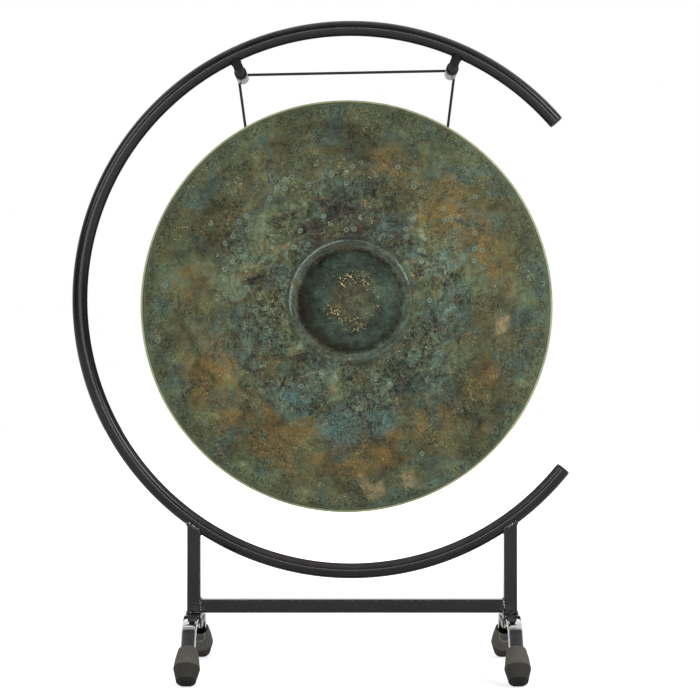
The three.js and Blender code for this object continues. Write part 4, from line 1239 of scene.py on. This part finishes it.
legSet = {
    "width": 20.4, "depth": 9.0, "sheet": 1.5, "corner": 2.2, "innerCorner": 0.5, "bend": 38.0,
    "slope": 50.0, "webTop": 82.2, "bendCentre": (73.621, 44.2), "pivot": (20.0, 73.5), "ear": 8.7,
    "noseHalfGap": 6, "footCentre": (135.0, 23.168), "stop": -4.0, "sinkMost": 0.4, "cornerMost": 0.3,
    "crease": 0.3, "creaseSteps": 3.0, "creaseFade": (0.5, 3.5), "crown": 0.7, "edge": 0.3,
    "wornBend": 0.6, "wornWidth": 3.0, "noseSteps": 14, "earSteps": 12, "levelSteps": 16,
    "bendSteps": 25, "slopeSteps": 22,
}
slope = math.radians(legSet["slope"])
slopeDown = np.array([math.cos(slope), -math.sin(slope)])
slopeOut = np.array([math.sin(slope), math.cos(slope)])
footCentre = np.array(legSet["footCentre"])


# Points of one corner, with Y away from the bracket's middle, set at that corner of the stand.
def atCorner(points, side, end):
    facing = points * np.array([end, end, 1.0])
    return facing + standMiddle + [side * tubeSet["spacing"] / 2, 0, 0]


# A leg's top and bottom lines in its side view, with the same number of points: round the
# pivot, level, round the bend and down the slope.
def legLines():
    size = legSet
    pivot, ear, gap = np.array(size["pivot"]), size["ear"], size["noseHalfGap"]
    noseTop = arcLine(pivot, ear, 180 - gap, 90, size["noseSteps"])
    noseLow = arcLine(pivot, ear, 180 + gap, 270, size["noseSteps"])
    meet = -math.degrees(math.asin((size["depth"] - ear) / ear))
    earLow = arcLine(pivot, ear, 270, 360 + meet, size["earSteps"])[1:]
    earTop = np.stack([earLow[:, 0], np.full(len(earLow), size["webTop"])], -1)
    level = np.linspace(earLow[-1, 0], size["bendCentre"][0], size["levelSteps"])[1:]
    bendEnd = 90 - size["slope"]
    lines = []
    for nose, first, depth in ((noseTop, earTop, 0.0), (noseLow, earLow, size["depth"])):
        flatRun = np.stack([level, np.full(len(level), size["webTop"] - depth)], -1)
        bend = arcLine(size["bendCentre"], size["bend"] - depth, 90, bendEnd, size["bendSteps"])[1:]
        stop = footCentre + slopeOut * (size["depth"] / 2 - depth) + slopeDown * size["stop"]
        share = np.linspace(0, 1, size["slopeSteps"])[1:, None]
        lines.append(np.vstack([nose, first, flatRun, bend, bend[-1] + (stop - bend[-1]) * share]))
    return lines


# A pressed channel: at each step of its lines, a flange up one side, a rounded corner, the web
# and down again, for the outer skin and then for the inner one. The web is crowned: it sinks
# from its middle to its sides by the crown times the square of the share across. A faint
# crease runs over it at the middle of the bend.
def makeLeg(name, side, end, body):
    size = legSet
    top, low = legLines()
    height = np.linalg.norm(low - top, axis=1)[:, None]
    downwards = (low - top) / height
    bendMiddle = size["noseSteps"] + size["earSteps"] + size["levelSteps"] - 2 + size["bendSteps"] // 2
    fromBend = (np.arange(len(top)) - bendMiddle)[:, None] / size["creaseSteps"]
    turn = np.radians(np.linspace(0, 90, sheetGrid["bend"]))[None, 1:]
    web = np.linspace(0, 1, sheetGrid["web"])[None, 1:]

    def skinOf(inset):
        half = size["width"] / 2 - inset
        sink = np.minimum(inset, size["sinkMost"] * height)
        corner = np.minimum(max(size["corner"] - inset, size["innerCorner"]), size["cornerMost"] * height)
        flangeDepth = sink + corner + (height - sink - corner) * np.linspace(1, 0, sheetGrid["side"])[None, :]
        bendX = -half + corner * (1 - np.cos(turn))
        x = np.concatenate([np.full(flangeDepth.shape, -half), bendX, bendX[:, -1:] * (1 - web)], 1)
        x = np.concatenate([x, -x[:, -2::-1]], 1)
        depth = np.concatenate([flangeDepth, sink + corner * (1 - np.sin(turn)), sink + 0 * web], 1)
        depth = np.concatenate([depth, depth[:, -2::-1]], 1)
        lift = size["crease"] * np.exp(-fromBend**2) * smooth(half - np.abs(x), *size["creaseFade"])
        sag = size["crown"] * (x / half) ** 2 * np.clip(1 - depth / height, 0, 1) * height / size["depth"]
        spot = top[:, None] + downwards[:, None] * (depth - lift + sag)[..., None]
        return np.stack([x, spot[..., 0], spot[..., 1]], -1)

    points, across = joined(skinOf(0.0), skinOf(size["sheet"]))
    worn = size["wornBend"] * np.exp(-((across - sheetGrid["bendMiddle"]) / size["wornWidth"]) ** 2)
    worn = np.tile(np.maximum(worn, (across < 1) * 1.0), 2)[None, :]
    shape = gridShape(atCorner(points, side, end), ends="strip", marks={"edge": worn})
    thing = meshObject(name + "_channel", [shape])
    bevelled(thing, size["edge"])
    finished(thing, legChrome, "leg_chrome", body, name + "_leg")


rivetSet = {
    "shank": 3.0, "head": 5.0, "height": 2.2, "seat": 12.4, "rim": 0.5, "middleDrop": 0.02,
    "domeEnd": 88, "domeSteps": 10, "rounding": 0.3, "sides": 32, "worn": (0.4, 0.8), "wornMost": 0.5,
}


# A rivet: a shank with a low domed head at each end, turned about X at the pivot.
def makeRivet(name, side, end):
    size = rivetSet
    rise = size["height"] - size["rim"] - size["middleDrop"]
    lean = np.radians(np.linspace(0, size["domeEnd"], size["domeSteps"]))
    dome = np.stack([size["head"] * np.cos(lean), size["seat"] + size["rim"] + rise * np.sin(lean)], -1)
    half = np.vstack([[(size["shank"], size["seat"]), (size["head"], size["seat"])], dome])
    profile = np.vstack([(half * (1, -1))[::-1], half])
    points = lathe(softened(profile, size["rounding"], 3), size["sides"])
    placed = points[..., ::-1] + [0, *legSet["pivot"]]
    start, stop = size["worn"]
    mark = smooth(np.abs(points[..., 2]), size["seat"] + start, size["seat"] + stop) * size["wornMost"]
    shape = gridShape(atCorner(placed, side, end), marks={"edge": mark})
    thing = meshObject(name + "_pivot_pin", [shape])
    finished(thing, rivetZinc, "rivet_zinc", "frame", name + "_pivot_rivet")


footSet = {
    "top": 13.45, "widest": 18.62, "tip": 13.95, "upper": 31.0, "lower": 21.0, "wall": 2.1, "cup": 8.0,
    "rounding": 2.0, "hub": 0.3, "cupShare": 0.94, "cupTop": 0.05, "bellyShare": 0.6, "recess": 9.8,
    "recessDepth": 0.5, "recessSlope": 0.4, "soften": 1.0, "sides": 96, "step": 0.7, "notchHalf": 7.0,
    "notchDepth": 12.0, "notchFloor": 12.0, "notchLip": 0.55, "lipOff": 0.8, "lipWidth": 1.0,
    "lipSide": (4.0, 8.0), "outer": (1.0, 0.3), "grooves": (19.0, 23.5), "grooveDepth": 0.18,
    "grooveWidth": 0.45, "socketRoom": 0.3, "socketEnd": 27.3, "overrun": 6.0, "notchStart": 24.0,
}
# How strong each mark is on a foot, and where it starts and stops, in millimetres.
footMarks = {
    "rimWorn": (1.4, 0.2), "lipWorn": 1.6, "cone": 0.8, "shadedConeRange": (-0.3, 0.5), "tip": 1.1,
    "shadedTipEnd": 0.6, "lipHighlight": 0.8, "lipHighlightWidth": 0.55, "recessHighlight": 0.12, "recessHighlightWidth": 0.5,
    "recessFrom": 1.0,
}


# A point at a distance along the foot and out from its middle line, in the leg's side view.
def onSlope(x, along, out):
    y = footCentre[0] + slopeDown[0] * along + slopeOut[0] * out
    z = footCentre[1] + slopeDown[1] * along + slopeOut[1] * out
    return np.stack([x, y, z], -1)


# A bump of height 1 round a middle: e to the minus square of the distance over the width.
def hump(value, middle, width):
    return np.exp(-(((value - middle) / width) ** 2))


# A foot's profile, as radius and distance down from its rim: the cup's floor and wall, the
# outside to its widest and down to the tip, and the shallow recess in the tip.
def footProfile(length):
    size = footSet
    bore = size["top"] - size["wall"]
    tip = arcLine((size["tip"] - size["rounding"], length - size["rounding"]), size["rounding"], 0, 90, 8)
    belly = size["top"] + (size["widest"] - size["top"]) * size["bellyShare"]
    profile = np.vstack([
        [(size["hub"], size["cup"]), (bore * size["cupShare"], size["cup"]), (bore, size["wall"] / 2),
         (size["top"] - size["wall"] / 2, size["cupTop"]), (size["top"], size["wall"] / 2),
         (belly, size["upper"] / 2), (size["widest"], size["upper"])],
        tip,
        [(size["recess"], length), (size["recess"] - size["recessSlope"], length - size["recessDepth"]),
         (size["hub"], length - size["recessDepth"])],
    ])
    return evenly(softened(profile, size["soften"], 5), size["step"])


# A foot: its profile turned about the leg's slope. Round the notch in the top rim the skin
# swells into a lip, fading with the distance from the notch's outline, and two fine grooves
# run round it. It is marked where it is worn, where painted shade darkens it and where a painted highlight
# runs.
def makeFoot(name, side, end, body):
    size, level = footSet, footMarks
    length = size["upper"] + size["lower"]
    points = lathe(footProfile(length), size["sides"])
    x, out, down = points[..., 0], points[..., 1], points[..., 2]
    radius = np.hypot(x, out)
    outer = smooth(radius, size["top"] - size["outer"][0], size["top"] - size["outer"][1])
    under = smooth(-out, *size["lipSide"]) * outer
    centreDepth = size["notchDepth"] - size["notchHalf"]
    reach = np.where(down > centreDepth, np.hypot(x, down - centreDepth), np.abs(x))
    lipMiddle = size["notchHalf"] + size["lipOff"]
    lip = size["notchLip"] * hump(reach, lipMiddle, size["lipWidth"]) * under
    for groove in size["grooves"]:
        lip = lip - size["grooveDepth"] * hump(down, groove, size["grooveWidth"]) * outer
    grown = 1 + lip / np.maximum(radius, 1)
    placed = onSlope(x * grown, down - size["upper"], out * grown)
    placed[..., 2] = np.maximum(placed[..., 2], 0)
    edge = np.maximum(smooth(down, *level["rimWorn"]), np.clip(lip * level["lipWorn"], 0, 1))
    # the low mark: painted shade on the lower cone and the tip
    start, stop = level["shadedConeRange"]
    cone = level["cone"] * smooth(down, size["upper"] + start, size["upper"] + stop) * outer
    tip = level["tip"] * smooth(down, length - size["rounding"], length - level["shadedTipEnd"])
    # the rim mark: a painted highlight round the notch and round the recess
    rim = level["lipHighlight"] * hump(reach, lipMiddle, level["lipHighlightWidth"]) * under
    onTip = down > length - level["recessFrom"]
    rim = rim + level["recessHighlight"] * hump(radius, size["recess"], level["recessHighlightWidth"]) * onTip
    marks = {"edge": edge, "low": np.maximum(cone, tip), "rim": rim}
    thing = meshObject(name + "_rubber", [gridShape(atCorner(placed, side, end), marks=marks)])
    cutAway(thing, footTools(side, end))
    finished(thing, footRubber, "foot_rubber", body, name + "_foot")


# What is cut from a foot: the socket for the leg's end and the notch in its rim, each the
# corners of an outline carried straight through.
def footTools(side, end):
    size = footSet
    half, depth = legSet["width"] / 2 + size["socketRoom"], legSet["depth"] / 2 + size["socketRoom"]
    box = np.array([(-half, -depth), (half, -depth), (half, depth), (-half, depth)])
    notch = np.vstack([
        arcLine((0, size["notchDepth"] - size["notchHalf"]), size["notchHalf"], 0, 180, 15),
        [(-size["notchHalf"], -size["overrun"]), (size["notchHalf"], -size["overrun"])],
    ])
    socketRows = [onSlope(box[:, 0], np.full(4, level - size["upper"]), box[:, 1])
                  for level in (-size["overrun"], size["socketEnd"])]
    notchRows = [onSlope(notch[:, 0], notch[:, 1] - size["upper"], np.full(len(notch), level))
                 for level in (-size["notchStart"], -size["notchFloor"])]
    both = (np.array(rows) for rows in (socketRows, notchRows))
    return [gridShape(atCorner(rows, side, end), marks={"edge": 0.0}) for rows in both]


for endName, end in (("front", -1), ("rear", 1)):
    for sideName, side in (("left", -1), ("right", 1)):
        corner = endName + "_" + sideName
        body = corner + "_leg_body"
        makeLeg(corner, side, end, body)
        makeRivet(corner, side, end)
        makeFoot(corner, side, end, body)
print("legs made")


pegSet = {
    "radius": 373.7, "halfAngle": 24.75, "body": 7.0, "neck": 4.0, "flange": 6.5, "start": -11.05,
    "bodyEnd": 56.0, "groove": 136.8, "end": 140.75, "chamfer": 1.0, "hub": 0.2, "rounding": 0.45,
    "sides": 40, "worn": (5.5, 6.4), "wornLength": (2.0, 1.0), "weldHalf": (5.2, 8.6), "weld": 2.1,
    "weldSteps": 90, "sleeve": 9.05, "bore": 4.3, "sleeveStart": 56.3, "sleeveEnd": 127.0,
    "sleeveRounding": 0.8, "sleeveSeam": 1.0, "sleeveSides": 48,
}


# A turned shape along Y under the ring, at its angle from the ring's top.
def underRing(points, side):
    placed = np.stack([points[..., 0], points[..., 2], points[..., 1] + pegSet["radius"]], -1)
    return inRing(placed, side * pegSet["halfAngle"])


# A peg with its weld: a bead round the touch of rod and ring, as high as the gap between
# their two rounds at each point of an oval. The whole piece is marked matt.
def makePeg(name, side):
    size = pegSet
    start, stop, cut = size["start"], size["end"], size["chamfer"]
    profile = [
        (size["hub"], start), (size["body"] - cut, start), (size["body"], start + cut),
        (size["body"], size["bodyEnd"]), (size["neck"], size["bodyEnd"]), (size["neck"], size["groove"]),
        (size["flange"], size["groove"]), (size["flange"], stop - cut), (size["flange"] - cut, stop),
        (size["hub"], stop),
    ]
    points = lathe(softened(profile, size["rounding"]), size["sides"])
    along, (far, near) = points[..., 2], size["wornLength"]
    atEnds = smooth(along, stop - far, stop - near) + smooth(along, start + far, start + near)
    edge = smooth(np.hypot(points[..., 0], points[..., 1]), *size["worn"]) * atEnds
    rod = gridShape(underRing(points, side), marks={"edge": np.clip(edge, 0, 1), "matte": 1.0})
    turn = np.linspace(0, 2 * np.pi, size["weldSteps"])
    x, y = size["weldHalf"][0] * np.cos(turn), size["weldHalf"][1] * np.sin(turn)
    onPeg = np.sqrt(size["body"] ** 2 - x**2)
    onRing = ringSet["radius"] - size["radius"] - np.sqrt(ringSet["tube"] ** 2 - y**2)
    path = inRing(np.stack([x, y, size["radius"] + (onPeg + onRing) / 2], -1), side * size["halfAngle"])
    bead = weldBead(path, size["weld"], (0, 0, 1), closed=True)
    bead["marks"]["matte"] = np.ones(len(bead["points"]))
    finished(meshObject(name + "_peg_rod", [rod, bead]), blackPaint, "black_paint", "frame", name + "_peg")


# A sleeve: a thick soft tube, out along its outside and back along its bore.
def makeSleeve(name, side):
    size = pegSet
    bore, sleeve, start, stop = size["bore"], size["sleeve"], size["sleeveStart"], size["sleeveEnd"]
    seam = (bore, start + size["sleeveSeam"])
    corners = [seam, (bore, start), (sleeve, start), (sleeve, stop), (bore, stop), seam]
    profile = softened(corners, size["sleeveRounding"])[:-1]
    points = underRing(lathe(profile, size["sleeveSides"]), side)
    thing = meshObject(name + "_sleeve_tube", [gridShape(points, closeRows=True, marks={"edge": 0.0})])
    finished(thing, sleeveVinyl, "sleeve_vinyl", "frame", name + "_peg_sleeve")


for sideName, side in (("left", -1), ("right", 1)):
    makePeg(sideName, side)
    makeSleeve(sideName, side)
print("pegs made")


cordShape = {
    "radius": 2.1, "wrap": 6.05, "back": 115.704, "strands": 4, "pitch": 11.0, "groove": 0.12,
    "sides": 24, "step": 0.7, "tail": 24.0, "leave": ((-125.247, 872.126), (199.601, 878.468)),
    "bendSteps": 24, "hole": ((-115.807, 123.571, 800.341), (190.153, 123.571, 800.341)), "sharp": 70,
    "blendDown": (0.019519, 0, -0.999809), "blendAbove": 3.0, "blendBelow": 8.0, "knotStart": 6.5,
    "knotTurns": 2.5, "knotPitch": 3.3, "knotRadius": 3.1, "knotCord": 1.6, "knotSteps": 90,
    "knotTuck": (0.55, 0.45, 0.4),
}


# A twisted cord along a path: its radius is full on each strand and dips by the groove's share
# between two, and the strands turn once in each pitch.
def cordAlong(path, radius):
    size = cordShape
    path = evenly(path, size["step"])
    run = (np.arange(len(path)) * size["step"])[:, None]
    angle = np.linspace(0, 2 * np.pi, size["sides"], endpoint=False)[None, :]
    strand = np.abs(np.cos(size["strands"] / 2 * (angle - 2 * np.pi * run / size["pitch"])))
    reach = radius * (1 - size["groove"] + size["groove"] * strand)
    section = np.stack([reach * np.cos(angle), reach * np.sin(angle)], -1)
    return gridShape(sweep(path, section, np.array([0.0, 1.0, 0.0])), marks={"strand": strand})


# One side of the cord: the point where it leaves its peg, its hole in the gong's rim, and the
# way from one to the other.
def cordDrop(k):
    leave = cordShape["leave"][k]
    top, hole = np.array([leave[0], cordShape["back"], leave[1]]), np.array(cordShape["hole"][k])
    return top, hole, (hole - top) / np.linalg.norm(hole - top)


# A stopper knot: the cord wound on itself, a helix about its tail that tightens at both ends.
def makeKnot(name, hole, ahead):
    size = cordShape
    turns = np.linspace(0, size["knotTurns"], size["knotSteps"])[:, None]
    across = np.cross(ahead, [0, 1.0, 0])
    across /= np.linalg.norm(across)
    spin = 2 * np.pi * turns
    least, more, power = size["knotTuck"]
    reach = size["knotRadius"] * (least + more * np.sin(np.pi * turns / size["knotTurns"]) ** power)
    helix = hole + ahead * (size["knotStart"] + size["knotPitch"] * turns)
    helix = helix + reach * (np.cos(spin) * across + np.sin(spin) * np.cross(ahead, across))
    knot = meshObject(name + "_cord_knot", [cordAlong(helix, size["knotCord"])], sharp=size["sharp"])
    finished(knot, cordYarn, "cord_braid", "gong_body")


# The whole cord: up from inside the rim, round one peg, across, round the other and down.
def makeCord():
    size = cordShape
    drops, arcs = [cordDrop(k) for k in (0, 1)], []
    for (top, hole, ahead), side in zip(drops, (-1, 1)):
        onPeg = inRing(np.array([[0, 0, pegSet["radius"]]]), side * pegSet["halfAngle"])[0]
        start = math.degrees(math.atan2(top[2] - onPeg[2], top[0] - onPeg[0]))
        start = start + 360 if side < 0 and start < 0 else start
        bend = arcLine(onPeg[[0, 2]], size["wrap"], start, 90 + ringSet["turn"], size["bendSteps"])
        arcs.append(np.stack([bend[:, 0], np.full(len(bend), size["back"]), bend[:, 1]], -1))
    ends = [hole + ahead * size["tail"] for top, hole, ahead in drops]
    path = np.vstack([ends[0], drops[0][0], arcs[0][1:], arcs[1][::-1], ends[1]])
    thing = meshObject("hanging_cord", [cordAlong(path, size["radius"])], sharp=size["sharp"])
    finished(thing, cordYarn, "cord_braid", None, "cord_span", "left_cord_drop", "right_cord_drop")
    first, down = drops[0][0], np.array(size["blendDown"])
    start, end = first - down * size["blendAbove"], first + down * size["blendBelow"]
    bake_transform(thing)
    for name, (top, hole, ahead) in zip(("left", "right"), drops):
        makeKnot(name, hole, ahead)


makeCord()
print("cord made")


# The gong's face as radius and depth, from the boss over the raised collar to the shoulder,
# and how its skins and its hammering are worked out.
faceHeights = (
    (77.5, -11.4), (80.5, -13.0), (90.0, -13.1), (93.0, -11.6), (96.5, -8.4), (101.0, -7.6),
    (150.0, -6.7), (203.0, -5.0), (260.0, -2.2), (286.0, -0.6),
)
skinSet = {
    "domeStart": 1.2, "domeSteps": 30, "turnSteps": 12, "collarEnd": 100, "collarStep": 1.1,
    "faceStart": 101, "faceEnd": 295.9, "faceStep": 3.0, "soften": 1.6, "softenSteps": 9,
    "softenWidth": 1.4, "plainFrom": 290, "innerSpacing": 1.7, "edgeRounding": 1.0, "offsetFrom": 96.0,
    "faceFade": (284, 298), "depthFade": (4, 12), "dentFade": (60, 110), "dentShares": (0.1, 0.86),
    "uneven": 0.35, "unevenFade": (90, 150), "unevenWaves": ((31, 1.2), (43, 0.4)), "sharp": 50,
    "drillHalf": 14, "drillSteps": 5, "drillSides": 24,
}
randomGong = np.random.default_rng(5)


# One skin of the gong from its middle out, as radius and depth: half an oval for the boss,
# the raised collar and the face drawn between their heights and smoothed, a quarter oval
# for the shoulder, and the tapering rim.
def gongSkin(inset, rimInset, spacing):
    size, way = gongSet, skinSet
    boss, flat = size["boss"] - inset, size["radius"] - size["shoulder"]
    lean = np.radians(np.linspace(way["domeStart"], 90, int(way["domeSteps"] / spacing)))
    dome = np.stack([boss * np.sin(lean), size["domeFoot"] + inset - size["domeRise"] * np.cos(lean)], -1)
    heights = np.array([(boss, size["domeFoot"]), *faceHeights, (flat, 0.0)])
    collar = np.arange(boss, way["collarEnd"], way["collarStep"] * spacing)[1:]
    face = np.arange(way["faceStart"], way["faceEnd"], way["faceStep"] * spacing)
    reach = np.concatenate([collar, face, [flat]])
    near = np.linspace(-way["soften"], way["soften"], way["softenSteps"])
    weight = np.exp(-(near**2) / way["softenWidth"])
    plain = np.interp(reach, *heights.T)
    soft = sum(w * np.interp(reach + n, *heights.T) for n, w in zip(near, weight)) / weight.sum()
    face = np.stack([reach, np.where(reach > way["plainFrom"], plain, soft) + inset], -1)
    turn = np.radians(np.linspace(90, 0, int(way["turnSteps"] / spacing)))[1:]
    bend = size["shoulder"] - inset
    shoulder = np.stack([flat + bend * np.cos(turn), size["shoulder"] - bend * np.sin(turn)], -1)
    rimEnd = (size["radius"] - size["rimTaper"] - rimInset, size["rimDepth"])
    rim = np.linspace(shoulder[-1], rimEnd, int(way["turnSteps"] / spacing))[1:]
    return np.vstack([dome, face, shoulder, rim])


# Hammer marks pressed into the face: a round dip of depth times one less the square of the
# distance over the radius, squared, at each of many random places.
def hammered(x, z):
    size = gongSet
    dip = np.zeros_like(x)
    where = np.sqrt(randomGong.uniform(*skinSet["dentShares"], size["dents"])) * size["radius"]
    turn = randomGong.uniform(0, 2 * np.pi, size["dents"])
    radius = randomGong.uniform(*size["dentRadius"], size["dents"])
    depth = randomGong.uniform(*size["dentDepth"], size["dents"])
    for r, t, wide, deep in zip(where, turn, radius, depth):
        share = np.clip(1 - ((x - r * np.cos(t)) ** 2 + (z - r * np.sin(t)) ** 2) / wide**2, 0, 1)
        dip = np.maximum(dip, deep * share**2)
    return dip


# The gong: outer skin out to the rim's end and inner skin back, turned about Y, the boss
# moved off the middle, the face hammered and a little uneven, and two holes for the cord.
def makeGong():
    size, way = gongSet, skinSet
    outer, inner = gongSkin(0.0, 0.0, 1.0), gongSkin(size["sheet"], size["rimSheet"], way["innerSpacing"])
    edge = softened(np.vstack([outer[-2:], inner[-1:], inner[-2:-1]]), way["edgeRounding"], 4)[1:-1]
    profile = np.vstack([outer[:-1], edge, inner[:-1][::-1]])
    turn = np.linspace(0, 2 * np.pi, size["columns"], endpoint=False)[None, :]
    radius, depth = profile[:, :1], profile[:, 1:]
    share = 1 - smooth(radius, way["offsetFrom"], size["radius"] - size["shoulder"])
    x = radius * np.cos(turn) + size["bossOffset"][0] * share
    z = radius * np.sin(turn) + size["bossOffset"][1] * share
    reach = np.hypot(x, z)
    onFace = (1 - smooth(reach, *way["faceFade"])) * (1 - smooth(depth, *way["depthFade"]))
    (waveX, startX), (waveZ, startZ) = way["unevenWaves"]
    uneven = way["uneven"] * (1 + np.sin(x / waveX + startX) * np.cos(z / waveZ + startZ))
    dip = hammered(x, z) * smooth(reach, *way["dentFade"]) + uneven * smooth(radius, *way["unevenFade"])
    dip = dip * onFace
    points = np.stack([x, depth + dip, z], -1) + size["middle"]
    thing = meshObject("gong_sheet", [gridShape(points, marks={"dip": dip})], sharp=way["sharp"])
    drills = []
    for k in (0, 1):
        top, hole, ahead = cordDrop(k)
        path = hole + np.linspace(-way["drillHalf"], way["drillHalf"], way["drillSteps"])[:, None] * ahead
        circle = arcLine((0, 0), size["holeRadius"], 0, 360, way["drillSides"] + 1)[:-1]
        drills.append(gridShape(sweep(path, circle[None], np.array([0.0, 1.0, 0.0])), marks={"dip": 0.0}))
    cutAway(thing, drills, sharp=way["sharp"])
    finished(thing, gongPatina, "gong_bronze", "gong_body", "gong")
    print("gong triangles:", sum(len(face.vertices) - 2 for face in thing.data.polygons))


makeGong()
print("gong made")


cameraSet = {
    "place": (0.043984, -3.016196, 0.4639), "lens": 106.7, "sensor": 36.0, "shift": -1.1 / 700,
    "clip": (0.05, 60),
}
camera = bpy.data.objects.new("camera", bpy.data.cameras.new("camera"))
camera.location = cameraSet["place"]
camera.rotation_euler = (math.pi / 2, 0, 0)
camera.data.lens, camera.data.sensor_width = cameraSet["lens"], cameraSet["sensor"]
camera.data.shift_x = cameraSet["shift"]
camera.data.clip_start, camera.data.clip_end = cameraSet["clip"]
bpy.context.scene.collection.objects.link(camera)
bpy.context.scene.camera = camera

floorSet = {
    "half": 9.0, "drop": 0.0003, "tone": (240, 240, 240), "rough": 0.9, "glow": 0.5, "farGlow": 1.2,
    "near": 0.75, "far": 1.7, "glossy": 0.3,
}


# A pale floor that shows its shadow: plain diffuse, with a little glow that grows with the
# distance from the stand. The camera and see-through surfaces see all of the glow, glossy
# ones only a share, and matt ones none.
def makeFloor():
    half, low = floorSet["half"], -floorSet["drop"]
    corners = [(x, y, low) for x, y in ((-half, -half), (half, -half), (half, half), (-half, half))]
    mesh = bpy.data.meshes.new("floor")
    mesh.from_pydata(corners, [], [(0, 1, 2, 3)])
    thing = bpy.data.objects.new("floor", mesh)
    bpy.context.scene.collection.objects.link(thing)
    constants = {"Roughness": floorSet["rough"], "Specular_IOR_Level": 0.0}
    material, tree, shader = newFinish("paleFloor", Metallic=0.0, **constants)
    shader.inputs["Base Color"].default_value = colour(*floorSet["tone"])
    path = tree.nodes.new("ShaderNodeLightPath").outputs
    glossy = times(tree, path["Is Glossy Ray"], floorSet["glossy"])
    seen = most(tree, path["Is Camera Ray"], glossy, path["Is Transmission Ray"])
    shader.inputs["Emission Color"].default_value = (1, 1, 1, 1)
    away = vectors(tree, "LENGTH", placeOf(tree))
    glow = ranged(tree, away, floorSet["near"], floorSet["far"], floorSet["glow"], floorSet["farGlow"])
    tree.links.new(times(tree, seen, glow), shader.inputs["Emission Strength"])
    mesh.materials.append(material)


worldSet = {
    "back": 1.0, "front": 0.2, "top": 0.06, "backRange": (-0.1, 0.3), "topRange": (0.86, 0.97),
    "topEnd": (-0.08, 0.12),
}


# Studio round the object, by the direction of each ray: white for the camera, and for the rest
# pale behind the object, darker in front of it, and almost dark in front overhead.
def makeWorld():
    world = bpy.data.worlds.new("studio")
    bpy.context.scene.world = world
    world.use_nodes = True
    tree = world.node_tree
    tree.nodes.clear()
    way = split(tree, tree.nodes.new("ShaderNodeTexCoord").outputs["Generated"])
    level = ranged(tree, way["Y"], *worldSet["backRange"], worldSet["front"], worldSet["back"])
    frontMost = ranged(tree, way["Y"], *worldSet["topEnd"], 1.0, 0.0)
    overhead = times(tree, ranged(tree, way["Z"], *worldSet["topRange"]), frontMost)
    level = mixedValue(tree, overhead, level, worldSet["top"])
    seen = tree.nodes.new("ShaderNodeLightPath").outputs["Is Camera Ray"]
    strength = mixedValue(tree, seen, level, 1.0)
    back = put(tree, "ShaderNodeBackground", {"Color": (1, 1, 1, 1), "Strength": strength})
    tree.links.new(back.outputs[0], put(tree, "ShaderNodeOutputWorld").inputs["Surface"])


# Soft boxes: where each stands, its width and height, and its watts. All face one point.
lampSet = {
    "target": (0.04, 0.0, 0.5),
    "front_box": ((0.1, -3.6, 0.95), (3.0, 0.6), 40),
    "left_box": ((-2.3, -2.3, 2.2), (1.2, 1.6), 33),
    "right_box": ((2.5, -2.1, 2.4), (1.2, 1.6), 60),
}


def softBox(name):
    place, size, watts = lampSet[name]
    data = bpy.data.lights.new(name, "AREA")
    data.shape, data.size, data.size_y, data.energy = "RECTANGLE", *size, watts
    lamp = bpy.data.objects.new(name, data)
    bpy.context.scene.collection.objects.link(lamp)
    lamp.location = place
    x, y, z = (b - a for a, b in zip(place, lampSet["target"]))
    lamp.rotation_euler = (math.atan2(math.hypot(x, y), -z), 0, math.atan2(x, -y) + math.pi)


makeFloor()
makeWorld()
for lampName in ("front_box", "left_box", "right_box"):
    softBox(lampName)
bpy.context.scene.view_settings.view_transform = "Standard"

print("scene ready")
